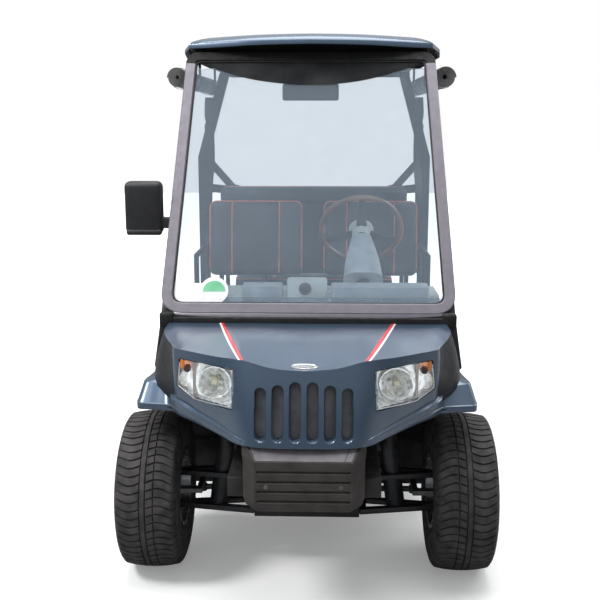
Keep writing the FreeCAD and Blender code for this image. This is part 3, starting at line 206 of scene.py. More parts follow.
def piece_of(name, bm, body, slot, *finishes, sharp=32):
    """A finished mesh, made a piece that rides on a body."""
    mesh = bpy.data.meshes.new(name)
    bm.to_mesh(mesh)
    bm.free()
    mesh.shade_smooth()
    mesh.set_sharp_from_angle(angle=math.radians(sharp))
    for finish in finishes:
        mesh.materials.append(finish)
    piece = bpy.data.objects.new(name, mesh)
    SCENE.collection.objects.link(piece)
    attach(piece, body)
    return piece


def settled(piece):
    """The piece with its modifiers worked into its mesh."""
    bpy.context.view_layer.update()
    made = bpy.data.meshes.new_from_object(piece.evaluated_get(bpy.context.evaluated_depsgraph_get()))
    piece.modifiers.clear()
    piece.data = made
    return piece


def thickened(piece, wall):
    """The piece with a wall of that thickness, inwards."""
    solid = piece.modifiers.new("wall", "SOLIDIFY")
    solid.thickness = wall
    solid.offset = -1
    return settled(piece)


def copied(bm, node):
    """The node's own solid, as clean faces."""
    bm.from_mesh(NODES[node].data)
    bmesh.ops.remove_doubles(bm, verts=bm.verts, dist=SAME_POINT)
    bmesh.ops.dissolve_limit(bm, angle_limit=SAME_FACE, verts=bm.verts, edges=bm.edges)


def eased_edges(bm, width):
    """Rounds every edge that turns sharply."""
    edges = [e for e in bm.edges if e.is_manifold and e.calc_face_angle() > TURNING_EDGE]
    bmesh.ops.bevel(bm, geom=edges, offset=width, segments=2, profile=0.5,
                    affect="EDGES", material=-1, clamp_overlap=True)


def softened(node, body, slot, finish, width=0.003):
    """A piece of the node's own shape, with its edges eased."""
    bm = bmesh.new()
    copied(bm, node)
    eased_edges(bm, width)
    piece = piece_of(f"{node}_eased", bm, body, slot, finish)
    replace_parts(piece, node)
    return piece


# Finishes

def shader_of(name, colour, roughness, **sockets):
    """A new material and its shader, with the sockets that are the same all over."""
    material = bpy.data.materials.new(name)
    material.use_nodes = True
    shader = material.node_tree.nodes["Principled BSDF"]
    shader.inputs["Base Color"].default_value = colour
    shader.inputs["Roughness"].default_value = roughness
    for socket, value in sockets.items():
        shader.inputs[socket.replace("_", " ").title().replace("Ior", "IOR")].default_value = value
    return material, shader


def place_node(material):
    """The piece's own coordinates, shared by the patterns of a material."""
    nodes = material.node_tree.nodes
    for node in nodes:
        if node.bl_idname == "ShaderNodeTexCoord":
            return node
    return nodes.new("ShaderNodeTexCoord")


def noise_of(material, scale, detail=4.0):
    """A cloud pattern of that many spots a metre."""
    clouds = material.node_tree.nodes.new("ShaderNodeTexNoise")
    clouds.inputs["Scale"].default_value = scale
    clouds.inputs["Detail"].default_value = detail
    material.node_tree.links.new(place_node(material).outputs["Object"], clouds.inputs["Vector"])
    return clouds.outputs["Fac"]


def spread(material, factor, low, high, start=0.35, end=0.65):
    """Turns a pattern into numbers from low to high."""
    ramp = material.node_tree.nodes.new("ShaderNodeMapRange")
    for socket, value in (("From Min", start), ("From Max", end), ("To Min", low), ("To Max", high)):
        ramp.inputs[socket].default_value = value
    material.node_tree.links.new(factor, ramp.inputs["Value"])
    return ramp.outputs["Result"]


def cells_of(material, scale):
    """A pattern of cells, that many a metre."""
    cells = material.node_tree.nodes.new("ShaderNodeTexVoronoi")
    cells.inputs["Scale"].default_value = scale
    material.node_tree.links.new(place_node(material).outputs["Object"], cells.inputs["Vector"])
    return cells


def blended(material, shader, dark, light, factor):
    """Colours the surface from a dark tone to a light one by a factor."""
    mix = material.node_tree.nodes.new("ShaderNodeMix")
    mix.data_type = "RGBA"
    mix.inputs["A"].default_value = dark
    mix.inputs["B"].default_value = light
    material.node_tree.links.new(factor, mix.inputs["Factor"])
    material.node_tree.links.new(mix.outputs["Result"], shader.inputs["Base Color"])
    return mix


def mottled(material, shader, dark, light, scale, detail=4.0):
    """Lets the colour drift between two tones."""
    return blended(material, shader, dark, light, spread(material, noise_of(material, scale, detail), 0, 1))


def grained(material, shader, height, strength, distance):
    """Raises the surface by a pattern."""
    bump = material.node_tree.nodes.new("ShaderNodeBump")
    bump.inputs["Strength"].default_value = strength
    bump.inputs["Distance"].default_value = distance
    links = material.node_tree.links
    links.new(height, bump.inputs["Height"])
    links.new(bump.outputs["Normal"], shader.inputs["Normal"])
    return bump


def roughened(material, shader, scale, low, high):
    """Lets the gloss vary over the surface."""
    links = material.node_tree.links
    links.new(spread(material, noise_of(material, scale), low, high), shader.inputs["Roughness"])


def make_body_paint():
    """Slate blue metallic paint under a clear coat."""
    material, shader = shader_of("slate_paint", srgb(62, 82, 104), 0.36, metallic=0.45,
                                 coat_weight=1.0, coat_roughness=0.17)
    mottled(material, shader, srgb(56, 76, 98), srgb(70, 90, 112), 900, 2)
    grained(material, shader, noise_of(material, 140, 2), 0.05, 0.001)
    return material


def make_plain(name, colour, light, roughness, scale, grain, **sockets):
    """A plain finish whose tone, gloss and surface drift a little."""
    material, shader = shader_of(name, colour, roughness, **sockets)
    mottled(material, shader, colour, light, scale / 12)
    roughened(material, shader, scale / 6, roughness * 0.85, min(1, roughness * 1.2))
    grained(material, shader, noise_of(material, scale, 3), grain, 0.0006)
    return material


def make_moulded(name, colour, light, roughness, pits, depth):
    """Moulded plastic with a pebbled skin."""
    material, shader = shader_of(name, colour, roughness)
    mottled(material, shader, colour, light, 22)
    grained(material, shader, cells_of(material, pits).outputs["Distance"], 0.5, depth)
    return material


def make_lamp_cover():
    """Clear moulded plastic over the headlamps."""
    material, _ = shader_of("lamp_cover", srgb(248, 250, 252), 0.0, transmission_weight=1.0, ior=1.35)
    return material


def make_pane(name, tint, sky_reflection_tone, share):
    """Clear glass under a thin bluish film, a painted reflection of the sky that drifts a little over it."""
    material, shader = shader_of(name, tint, 0.0, transmission_weight=1.0, ior=1.5)
    nodes, links = material.node_tree.nodes, material.node_tree.links
    painted_sky_reflection = nodes.new("ShaderNodeBsdfDiffuse")
    painted_sky_reflection.inputs["Color"].default_value = sky_reflection_tone
    both = nodes.new("ShaderNodeMixShader")
    cover = spread(material, noise_of(material, 9, 2), share * 0.85, share * 1.15, 0.2, 0.8)
    links.new(cover, both.inputs["Fac"])
    links.new(shader.outputs["BSDF"], both.inputs[1])
    links.new(painted_sky_reflection.outputs["BSDF"], both.inputs[2])
    links.new(both.outputs["Shader"], nodes["Material Output"].inputs["Surface"])
    return material


def make_vinyl(name, dark, light, creases):
    """Stitched vinyl: a leather grain with soft wrinkles under it."""
    material, shader = shader_of(name, dark, 0.5, sheen_weight=0.25)
    mottled(material, shader, dark, light, 14)
    wrinkles = grained(material, shader, noise_of(material, 26, 2), creases, 0.004)
    bump = grained(material, shader, cells_of(material, 420).outputs["Distance"], 0.16, 0.0003)
    material.node_tree.links.new(wrinkles.outputs["Normal"], bump.inputs["Normal"])
    roughened(material, shader, 60, 0.42, 0.6)
    return material


def make_webbing():
    """Woven belt webbing."""
    material, shader = shader_of("belt_webbing", srgb(34, 34, 36), 0.75, sheen_weight=0.4)
    weave = material.node_tree.nodes.new("ShaderNodeTexWave")
    weave.inputs["Scale"].default_value = 260
    weave.bands_direction = "DIAGONAL"
    material.node_tree.links.new(place_node(material).outputs["Object"], weave.inputs["Vector"])
    mottled(material, shader, srgb(26, 26, 28), srgb(48, 48, 52), 160)
    grained(material, shader, weave.outputs["Fac"], 0.5, 0.0006)
    return material


def make_rubber():
    """Tyre rubber: dull, with a dusty tone that drifts over it."""
    material, shader = shader_of("tyre_rubber", srgb(50, 48, 48), 0.78)
    mottled(material, shader, srgb(44, 42, 42), srgb(72, 69, 68), 30)
    grained(material, shader, noise_of(material, 700, 3), 0.25, 0.0006)
    return material


def make_chrome(name, colour, roughness, scale):
    """Bright plated metal with a faint ripple."""
    material, shader = shader_of(name, colour, roughness, metallic=1.0)
    grained(material, shader, noise_of(material, scale, 2), 0.2, 0.002)
    roughened(material, shader, scale * 3, roughness, roughness + 0.12)
    return material


def make_facets(name, dark, light, scale, metallic):
    """Pressed mirror facets, each given its own tone as a painted reflection."""
    material, shader = shader_of(name, light, 0.14, metallic=metallic)
    facets = cells_of(material, scale)
    split = material.node_tree.nodes.new("ShaderNodeSeparateXYZ")
    material.node_tree.links.new(facets.outputs["Color"], split.inputs["Vector"])
    blended(material, shader, dark, light, spread(material, split.outputs["X"], 0, 1, 0.1, 0.7))
    grained(material, shader, facets.outputs["Distance"], 0.6, 0.002)
    return material


PAINT = make_body_paint()
SATIN = make_plain("pillar_satin", srgb(128, 124, 133), srgb(135, 131, 140), 0.38, 420, 0.12, metallic=0.35)
BLACK_METAL = make_plain("powder_black", srgb(26, 27, 30), srgb(40, 41, 45), 0.42, 520, 0.2)
UNDERSIDE = make_plain("frame_black", srgb(24, 24, 25), srgb(44, 43, 42), 0.62, 260, 0.3)
CAST = make_plain("cast_metal", srgb(92, 92, 94), srgb(128, 127, 126), 0.5, 380, 0.4, metallic=0.8)
STEEL = make_plain("bolt_steel", srgb(150, 150, 152), srgb(180, 180, 184), 0.32, 500, 0.1, metallic=1.0)
BUMPER_PLASTIC = make_moulded("bumper_plastic", srgb(46, 42, 40), srgb(60, 56, 54), 0.55, 520, 0.0012)
BLACK_PLASTIC = make_moulded("black_plastic", srgb(22, 22, 24), srgb(36, 36, 39), 0.5, 700, 0.0006)
DASH_PLASTIC = make_moulded("dash_plastic", srgb(206, 210, 206), srgb(224, 227, 222), 0.5, 620, 0.0006)
FLOOR_RUBBER = make_moulded("floor_rubber", srgb(34, 34, 36), srgb(52, 52, 54), 0.72, 300, 0.001)
SEAT_VINYL = make_vinyl("seat_vinyl", srgb(40, 42, 46), srgb(54, 56, 61), 0.35)
CURTAIN_VINYL = make_vinyl("curtain_vinyl", srgb(96, 96, 98), srgb(150, 149, 150), 0.5)
PIPING = make_vinyl("orange_piping", srgb(214, 108, 62), srgb(232, 132, 84), 0.1)
WEBBING = make_webbing()
RUBBER = make_rubber()
# The windshield's glass, with a bluish film mixed in as a painted reflection of the sky.
PANE = make_pane("tinted_pane", srgb(222, 230, 236), srgb(178, 198, 218), 0.11)
LAMP_COVER = make_lamp_cover()
CHROME = make_chrome("lamp_chrome", srgb(228, 230, 232), 0.08, 30)
BRIGHT_TRIM = make_chrome("bright_trim", srgb(216, 216, 220), 0.12, 50)
RIM_ALLOY = make_plain("rim_alloy", srgb(150, 152, 156), srgb(176, 178, 182), 0.28, 300, 0.08, metallic=0.9)
AMBER = make_plain("amber_lens", srgb(232, 124, 40), srgb(246, 150, 66), 0.15, 160, 0.3, coat_weight=1.0)
RED_LENS = make_plain("red_lens", srgb(176, 22, 26), srgb(204, 40, 40), 0.12, 160, 0.3, coat_weight=1.0)
RED_TAPE = make_plain("red_tape", srgb(204, 40, 46), srgb(214, 54, 58), 0.35, 300, 0.05, coat_weight=0.6)
# White tape for the stripes and the sticker; also the dash lids' painted highlights.
WHITE_TAPE_AND_HIGHLIGHT = make_plain("white_tape_and_highlight", srgb(226, 226, 228), srgb(240, 240, 242), 0.35, 300, 0.05,
                        coat_weight=0.6)
GREEN_INK = make_plain("green_ink", srgb(96, 176, 134), srgb(122, 196, 154), 0.5, 200, 0.05)
WOOD = make_plain("wheel_wood", srgb(92, 58, 30), srgb(150, 100, 48), 0.2, 90, 0.1, coat_weight=1.0)
GRILLE_PLASTIC = make_plain("grille_plastic", srgb(84, 84, 88), srgb(106, 106, 110), 0.5, 240, 0.1)
# Painted reflections: the lamps' pressed facets are pale and each takes its own tone, standing for what the
# chrome reflects.
LAMP_SHELL = make_facets("lamp_shell", srgb(204, 206, 200), srgb(248, 250, 250), 70, 0.2)
LAMP_FACETS = make_facets("lamp_facets", srgb(190, 191, 182), srgb(252, 253, 255), 105, 0.3)
LAMP_WHITE = make_facets("lamp_white", srgb(226, 224, 210), srgb(252, 252, 252), 150, 0.1)
# Dark plastic on the cowl's flanks, made near-black as painted shade where the flanks turn away from the
# light.
FLANK_SHADED_PLASTIC = make_plain("flank_shaded_plastic", srgb(27, 29, 33), srgb(38, 40, 45), 0.42, 300, 0.08)
LID_GREY = make_moulded("lid_grey", srgb(176, 182, 186), srgb(196, 202, 206), 0.45, 620, 0.0006)
DEEP_BLACK = make_plain("deep_black", srgb(10, 10, 11), srgb(20, 20, 21), 0.75, 260, 0.2)
# A painted reflection: near-black with a faint blue drift, for the roof's underside and glints of sky seen in
# the windshield's head.
PAINTED_REFLECTION_BLACK = make_plain("painted_reflection_black", srgb(6, 7, 9), srgb(14, 17, 22), 0.8, 60, 0.1)
LEDGE_GREY = make_moulded("ledge_grey", srgb(96, 92, 98), srgb(116, 112, 118), 0.5, 520, 0.0008)
DIVIDER_GREY = make_plain("divider_grey", srgb(120, 112, 104), srgb(150, 142, 134), 0.4, 200, 0.1)
WARM_DARK = make_plain("socket_dark", srgb(60, 44, 44), srgb(84, 60, 56), 0.5, 200, 0.1)
WARM_GLASS = make_plain("bulb_glass", srgb(150, 146, 112), srgb(182, 178, 146), 0.1, 120, 0.1,
                        coat_weight=1.0)


# Camera, lamps and floor, set out as the photograph is seen

LENS = 54.9
LENS_FRAME = 36
CAMERA_PLACE = (0.062, -3.755, 1.477)
CAMERA_TILT = math.radians(79)
CAMERA_TURN = math.radians(1.69)
# Each lamp: its name, its place, where it points, its width and its power.
LAMPS = (
    ("sun_side", (-3.4, -2.6, 4.8), (0, -0.6, 0.6), 1.6, 200),
    ("sky_above", (0.2, -0.2, 5.4), (0, -0.3, 0.8), 4.6, 250),
    ("far_side", (4.0, 2.2, 3.4), (0, 0.2, 0.8), 3.0, 70),
)
WHITE = (1, 1, 1, 1)
SKY_STRENGTH = 0.62
# The sky's two tones, and the heights between which one turns into the other.
SKY_TONES = ((0.47, (0.20, 0.21, 0.22, 1)), (0.74, (0.95, 0.98, 1.0, 1)))
FLOOR_RADIUS = 16
# The floor's glow where it is seen, from close to the cart to far from it.
FLOOR_GLOW = (0.22, 1.0)
FLOOR_GLOW_REACH = (1.4, 4.2)


def make_camera():
    lens = bpy.data.cameras.new("camera")
    lens.lens = LENS
    lens.sensor_width = LENS_FRAME
    camera = bpy.data.objects.new("camera", lens)
    camera.location = CAMERA_PLACE
    camera.rotation_euler = (CAMERA_TILT, 0, CAMERA_TURN)
    SCENE.collection.objects.link(camera)
    SCENE.camera = camera


def make_lamp(name, place, target, size, power):
    light = bpy.data.lights.new(name, "AREA")
    light.shape = "DISK"
    light.size = size
    light.energy = power
    lamp = bpy.data.objects.new(name, light)
    lamp.location = place
    lamp.rotation_euler = (Vector(target) - lamp.location).to_track_quat("-Z", "Y").to_euler()
    SCENE.collection.objects.link(lamp)


def seen_share(tree):
    """1 where a thing is seen, straight or through glass, and 0 where it only lights others."""
    paths = tree.nodes.new("ShaderNodeLightPath")
    seen = tree.nodes.new("ShaderNodeMath")
    seen.operation = "MAXIMUM"
    for index, way in enumerate(("Is Camera Ray", "Is Transmission Ray")):
        tree.links.new(paths.outputs[way], seen.inputs[index])
    return seen.outputs["Value"]


def make_surroundings():
    """A pale sky that lights the cart, and is itself seen as plain white."""
    world = bpy.data.worlds.new("surroundings")
    SCENE.world = world
    world.use_nodes = True
    nodes, links = world.node_tree.nodes, world.node_tree.links
    shown = nodes.new("ShaderNodeBackground")
    shown.inputs["Color"].default_value = WHITE
    sky = nodes.new("ShaderNodeBackground")
    sky.inputs["Strength"].default_value = SKY_STRENGTH
    height = nodes.new("ShaderNodeSeparateXYZ")
    links.new(nodes.new("ShaderNodeTexCoord").outputs["Generated"], height.inputs["Vector"])
    tones = nodes.new("ShaderNodeValToRGB")
    for element, (position, colour) in zip(tones.color_ramp.elements, SKY_TONES):
        element.position = position
        element.color = colour
    half = nodes.new("ShaderNodeMapRange")
    half.inputs["From Min"].default_value = -1
    links.new(height.outputs["Z"], half.inputs["Value"])
    links.new(half.outputs["Result"], tones.inputs["Fac"])
    links.new(tones.outputs["Color"], sky.inputs["Color"])
    mix = nodes.new("ShaderNodeMixShader")
    links.new(seen_share(world.node_tree), mix.inputs["Fac"])
    links.new(sky.outputs["Background"], mix.inputs[1])
    links.new(shown.outputs["Background"], mix.inputs[2])
    links.new(mix.outputs["Shader"], nodes["World Output"].inputs["Surface"])


def make_floor_finish():
    """A pale floor that is seen white and keeps the shadow under the cart."""
    material, shader = shader_of("studio_floor", srgb(240, 240, 238), 0.85)
    nodes, links = material.node_tree.nodes, material.node_tree.links
    shown = seen_share(material.node_tree)
    tone = mottled(material, shader, srgb(150, 150, 150), srgb(156, 156, 156), 3)
    seen = nodes.new("ShaderNodeMix")
    seen.data_type = "RGBA"
    links.new(shown, seen.inputs["Factor"])
    links.new(tone.outputs["Result"], seen.inputs["A"])
    seen.inputs["B"].default_value = srgb(244, 244, 243)
    links.new(seen.outputs["Result"], shader.inputs["Base Color"])
    away = nodes.new("ShaderNodeVectorMath")
    away.operation = "LENGTH"
    links.new(place_node(material).outputs["Object"], away.inputs["Vector"])
    glow = nodes.new("ShaderNodeMath")
    glow.operation = "MULTIPLY"
    links.new(spread(material, away.outputs["Value"], *FLOOR_GLOW, *FLOOR_GLOW_REACH), glow.inputs[0])
    links.new(shown, glow.inputs[1])
    shader.inputs["Emission Color"].default_value = WHITE
    links.new(glow.outputs["Value"], shader.inputs["Emission Strength"])
    return material


def make_floor():
    bm = bmesh.new()
    bmesh.ops.create_circle(bm, cap_ends=True, segments=96, radius=FLOOR_RADIUS)
    mesh = bpy.data.meshes.new("studio_floor")
    bm.to_mesh(mesh)
    bm.free()
    mesh.materials.append(make_floor_finish())
    ground = bpy.data.objects.new("studio_floor", mesh)
    SCENE.collection.objects.link(ground)


def set_the_stage():
    SCENE.view_settings.view_transform = "Standard"
    make_camera()
    make_surroundings()
    make_floor()
    for lamp in LAMPS:
        make_lamp(*lamp)


# Front body

# Half outlines of the painted front, from the middle round its sharp corner to the
# windshield: the crease under the hood, and the face's and the flank's lower edge.
CREASE = (
    (0.000, -1.272, 0.790), (0.090, -1.266, 0.796), (0.174, -1.243, 0.812), (0.262, -1.190, 0.8105),
    (0.340, -1.132, 0.8095), (0.388, -1.095, 0.809), (0.3985, -1.084, 0.8095), (0.4055, -1.068, 0.811),
    (0.440, -0.985, 0.820), (0.455, -0.920, 0.825), (0.457, -0.866, 0.827), (0.455, -0.805, 0.828),
)
FACE_FOOT = (
    (0.000, -1.322, 0.578), (0.090, -1.319, 0.578), (0.170, -1.302, 0.580), (0.2465, -1.210, 0.584),
    (0.331, -1.113, 0.590), (0.384, -1.059, 0.596), (0.396, -1.043, 0.600), (0.408, -1.025, 0.612),
    (0.466, -0.985, 0.655), (0.492, -0.920, 0.660), (0.491, -0.866, 0.660), (0.482, -0.805, 0.655),
)
# The share of the hood's rear edge that lies inside each point of the crease.
REAR_SHARES = (0.0, 0.16, 0.31, 0.47, 0.62, 0.72, 0.745, 0.77, 0.88, 0.94, 0.97, 1.0)
FACE_BULGE = 0.007
FACE_CENTRE_Y = -0.70
HOOD_REAR = -0.805
HOOD_REAR_Z = 0.829
# How fast the hood rises to its rear, and the crown that it has over its middle.
HOOD_RISE = 1.25
HOOD_CROWN = 0.014
CROWN_HALF = 0.48
CROWN_ROUND = 1.3
STRIPE_FRONT = Vector((0.175, -1.243))
STRIPE_REAR = Vector((0.279, -0.812))
STRIPE_BOW = 0.007
# The fold under each stripe: the hood is this much higher between the two of them.
FOLD_HEIGHT = 0.006
FOLD_WIDTH = 0.020
FOLD_REACH = 1.1
FOLD_ROUND = 1.5
SLOTS = 6
SLOT_PITCH = 0.0493
SLOT_HALF = 0.0171
SLOT_LOW = 0.5925
SLOT_HIGH = 0.7600
SLOT_STEP = 0.0085
SLOT_DEPTH = 0.020
SLOT_EDGE = 0.0045
SLOT_SCOOP = 0.013
SCOOP_HEIGHT = SLOT_HALF * 1.6
# The headlamp's opening seen from the front, less the round of its corners.
LAMP_CORE = ((0.210, 0.776), (0.374, 0.772), (0.384, 0.691), (0.331, 0.668), (0.214, 0.677))
LAMP_ROUND = 0.0095
LAMP_LIP = 0.010
LAMP_LIP_WIDTH = 0.0032
# Where the wall is cut away: this far inside the lamp's opening, and this deep in a slot.
LAMP_HOLE = 0.0070
SLOT_HOLE = 0.995
# A point this close to the lamp's outline is moved onto it.
LAMP_SNAP = 0.0016
SLOPE_STEP = 0.0004
PANEL_WALL = 0.004
# The columns of the painted front, from the middle out: from and to which share of them,
# and the places along the outline that they cover.
COLUMN_SPREAD = ((0.0, 0.45, 0.0, 1.7), (0.45, 0.93, 1.7, 6.2), (0.93, 1.0, 6.2, 11.0))
COWL_COLUMNS = 430
FACE_ROWS = 92
HOOD_ROWS = 26
COWL_GAP = 0.0003
# The widths between which the lamps lie, where the flank begins, and how far back the
# face has slots and lamps.
LAMP_SPAN = (0.19, 0.41)
FLANK_FROM = 0.4045
FACE_BACK = -1.03


def front_outline(line, place):
    """A point of a half outline; places below nought are on the other side."""
    spot = smooth_at(line, abs(place))
    return Vector((math.copysign(spot.x, place) if place else 0.0, spot.y, spot.z))


def face_point(place, rise):
    """A point of the face, by its place along the outline and its share of the height."""
    low, high = front_outline(FACE_FOOT, place), front_outline(CREASE, place)
    spot = low.lerp(high, rise)
    out = Vector((spot.x, spot.y - FACE_CENTRE_Y, 0)).normalized()
    return spot + out * FACE_BULGE * math.sin(math.pi * rise), out


def slot_share(x, z):
    """How deep a point lies in one of the slots, from 0 to 1."""
    index = round(x / SLOT_PITCH + (SLOTS - 1) / 2)
    if not 0 <= index < SLOTS:
        return 0.0
    from_middle = index - (SLOTS - 1) / 2
    top = SLOT_HIGH - (abs(from_middle) - 0.5) * SLOT_STEP
    centre = min(max(z, SLOT_LOW + SLOT_HALF), top - SLOT_HALF)
    inside = SLOT_HALF - math.hypot(x - from_middle * SLOT_PITCH, z - centre)
    edge = between(SLOT_SCOOP, SLOT_EDGE, eased((z - SLOT_LOW) / SCOOP_HEIGHT))
    return eased(inside / edge)


def outside_lamp(x, z):
    """How far a point lies outside the headlamp's opening, less than nought inside it."""
    spot = Vector((abs(x), z))
    corners = [Vector(corner) for corner in LAMP_CORE]
    nearest, inside = math.inf, True
    for here, there in zip(corners, corners[1:] + corners[:1]):
        edge = there - here
        share = min(max((spot - here).dot(edge) / edge.length_squared, 0), 1)
        nearest = min(nearest, (spot - here - edge * share).length)
        inside = inside and edge.cross(spot - here) < 0
    return (-nearest if inside else nearest) - LAMP_ROUND


def stripe_x(y):
    """Where the stripe, and the fold under it, lies at a station of the hood."""
    share = (y - STRIPE_FRONT.y) / (STRIPE_REAR.y - STRIPE_FRONT.y)
    return between(STRIPE_FRONT.x, STRIPE_REAR.x, share) + STRIPE_BOW * math.sin(math.pi * share)


def hood_point(place, back):
    """A point of the hood, level at the crease and rising to its rear edge."""
    front = front_outline(CREASE, place)
    index = min(int(abs(place)), len(CREASE) - 2)
    share = between(REAR_SHARES[index], REAR_SHARES[index + 1], abs(place) - index)
    rear = Vector((math.copysign(CREASE[-1][0] * share, place), HOOD_REAR, HOOD_REAR_Z))
    spot = front.lerp(rear, back)
    spot.z = between(front.z, rear.z, back ** HOOD_RISE)
    crown = HOOD_CROWN * math.sin(math.pi * back) ** CROWN_ROUND * (1 - (spot.x / CROWN_HALF) ** 2)
    fold = eased((stripe_x(spot.y) - abs(spot.x)) / FOLD_WIDTH + 0.5)
    spot.z += crown + FOLD_HEIGHT * fold * math.sin(math.pi * min(back * FOLD_REACH, 1)) ** FOLD_ROUND
    return spot


def outline_place(across):
    """Spreads the columns: closest over the slots, then the lamps, then the flank."""
    across = (across - 0.5) * 2
    share = abs(across)
    for start, end, first, last in COLUMN_SPREAD:
        if share < end:
            break
    return math.copysign(between(first, last, (share - start) / (end - start)), across)


def place_at_width(width, width_at, halvings):
    """The place along the outline at which width_at(place) reaches a width."""
    low, high = 0.0, float(len(CREASE) - 1)
    for _ in range(halvings):
        place = (low + high) / 2
        if width_at(place) < width:
            low = place
        else:
            high = place
    return place


def on_face(x, z):
    """The point of the face at a width and a height, and the way out of it."""
    rise = 0.5
    for _ in range(6):
        place = place_at_width(abs(x), lambda place: face_point(place, rise)[0].x, 18)
        foot, top = face_point(place, 0)[0].z, face_point(place, 1)[0].z
        rise = (z - foot) / (top - foot)
    return face_point(math.copysign(place, x), rise)


def hood_height(x, y):
    """The height of the hood over a point."""
    back = 0.5
    for _ in range(5):
        place = place_at_width(abs(x), lambda place: hood_point(place, back).x, 16)
        front = hood_point(place, 0).y
        back = min(max((y - front) / (HOOD_REAR - front), 0), 1)
    return hood_point(place, back).z


def to_lamp_edge(x, z):
    """Moves a point that is close to the lamp's outline onto it."""
    beside = outside_lamp(x, z)
    if abs(beside) > LAMP_SNAP:
        return x, z
    step = SLOPE_STEP
    slope_x = (outside_lamp(x + step, z) - outside_lamp(x - step, z)) / (2 * step)
    slope_z = (outside_lamp(x, z + step) - outside_lamp(x, z - step)) / (2 * step)
    return x - slope_x * beside, z - slope_z * beside


def cowl_face_at(across, rise):
    """A point of the painted face, pressed in at the slots and round the lamps."""
    spot, out = face_point(outline_place(across), rise)
    nearest, farthest = LAMP_SPAN
    if nearest < abs(spot.x) < farthest:
        spot.x, spot.z = to_lamp_edge(spot.x, spot.z)
    depth = SLOT_DEPTH * slot_share(spot.x, spot.z)
    if abs(spot.x) < farthest and spot.y < FACE_BACK:
        depth += LAMP_LIP * eased(-outside_lamp(spot.x, spot.z) / LAMP_LIP_WIDTH)
    return spot - out * depth


def in_opening(spot):
    """Whether a point of the face lies in a slot's or a lamp's opening."""
    if spot.y > FACE_BACK:
        return False
    return slot_share(spot.x, spot.z) > SLOT_HOLE or outside_lamp(spot.x, spot.z) < -LAMP_HOLE


def make_cowl():
    """The painted hood, face and flanks in one shell, with six slots and two lamp openings."""
    bm = bmesh.new()
    verts = mapped_grid(bm, COWL_COLUMNS, FACE_ROWS, cowl_face_at)
    bmesh.ops.delete(bm, geom=[vert for vert in verts if in_opening(vert.co)], context="VERTS")
    # Past FLANK_FROM the faces take the flanks' near-black finish: dark plastic, and painted shade.
    for face in bm.faces:
        if abs(face.calc_center_median().x) > FLANK_FROM:
            face.material_index = 1
    mapped_grid(bm, COWL_COLUMNS, HOOD_ROWS, lambda across, back: hood_point(outline_place(across), back))
    bmesh.ops.remove_doubles(bm, verts=bm.verts, dist=COWL_GAP)
    bmesh.ops.recalc_face_normals(bm, faces=bm.faces)
    cowl = piece_of("painted_cowl", bm, "chassis", "body_paint", PAINT, FLANK_SHADED_PLASTIC, sharp=28)
    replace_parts(cowl, "front_cowl")
    thickened(cowl, PANEL_WALL)


GRILLE_OVERLAP = 0.006
GRILLE_HALF = SLOT_PITCH * SLOTS / 2 + GRILLE_OVERLAP
GRILLE_RISES = (0.06, 0.93)
GRILLE_DEPTH = 0.0235
GRILLE_WALL = 0.003
# The widths of the outline's first two parts, over which the grille's panel runs.
GRILLE_PARTS = (CREASE[1][0], 0.083)


def grille_at(across, rise):
    """A point of the panel behind the slots."""
    x = (across - 0.5) * 2 * GRILLE_HALF
    first, second = GRILLE_PARTS
    place = x / first
    if abs(place) >= 1:
        place = math.copysign(1 + (abs(x) - first) / second, x)
    spot, out = face_point(place, between(*GRILLE_RISES, rise))
    return spot - out * GRILLE_DEPTH


def make_grille_insert():
    """The plain grey panel behind the slots."""
    bm = bmesh.new()
    mapped_grid(bm, 40, 16, grille_at)
    panel = piece_of("grille_panel", bm, "chassis", "black_plastic", GRILLE_PLASTIC)
    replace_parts(panel, "grille_insert")
    thickened(panel, GRILLE_WALL)


# Two red stripes edged with white: where each starts beside the fold, and its width.
STRIPES = (("red_stripes", RED_TAPE, -0.003, 0.0095), ("white_stripes", WHITE_TAPE_AND_HIGHLIGHT, 0.0065, 0.0065))
STRIPE_START = 0.004
TAPE_LIFT = 0.0007
TAPE_WALL = 0.0004
BADGE_PROFILE = ((-0.003, 0.0), (-0.0034, 0.6), (-0.0022, 0.86), (-0.0030, 0.93), (-0.0016, 1.0),
                 (0.001, 1.0))
BADGE_HALVES = (0.039, 0.017, 1)
BADGE_Y = -1.243


def make_stripes():
    """The stripes that lie along the folds of the hood, and a plain oval badge."""
    for name, finish, start, wide in STRIPES:
        bm = bmesh.new()

        def tape_at(across, along, start=start, wide=wide):
            y = between(STRIPE_FRONT.y + STRIPE_START, STRIPE_REAR.y, along)
            x = stripe_x(y) + start + wide * across
            return Vector((x, y, hood_height(x, y) + TAPE_LIFT))

        mapped_grid(bm, 3, 60, tape_at)
        mirrored(bm)
        thickened(piece_of(name, bm, "chassis", "body_paint", finish), TAPE_WALL)
    badge = bmesh.new()
    turned(badge, BADGE_PROFILE, (0, 0, 0), -UP, 64)
    bmesh.ops.scale(badge, vec=BADGE_HALVES, verts=badge.verts)
    for vert in badge.verts:
        vert.co.y += BADGE_Y
        vert.co.z += hood_height(abs(vert.co.x), vert.co.y)
    piece_of("plain_badge", badge, "chassis", "body_paint", BRIGHT_TRIM)


# Headlamps, made on the driver's side and mirrored

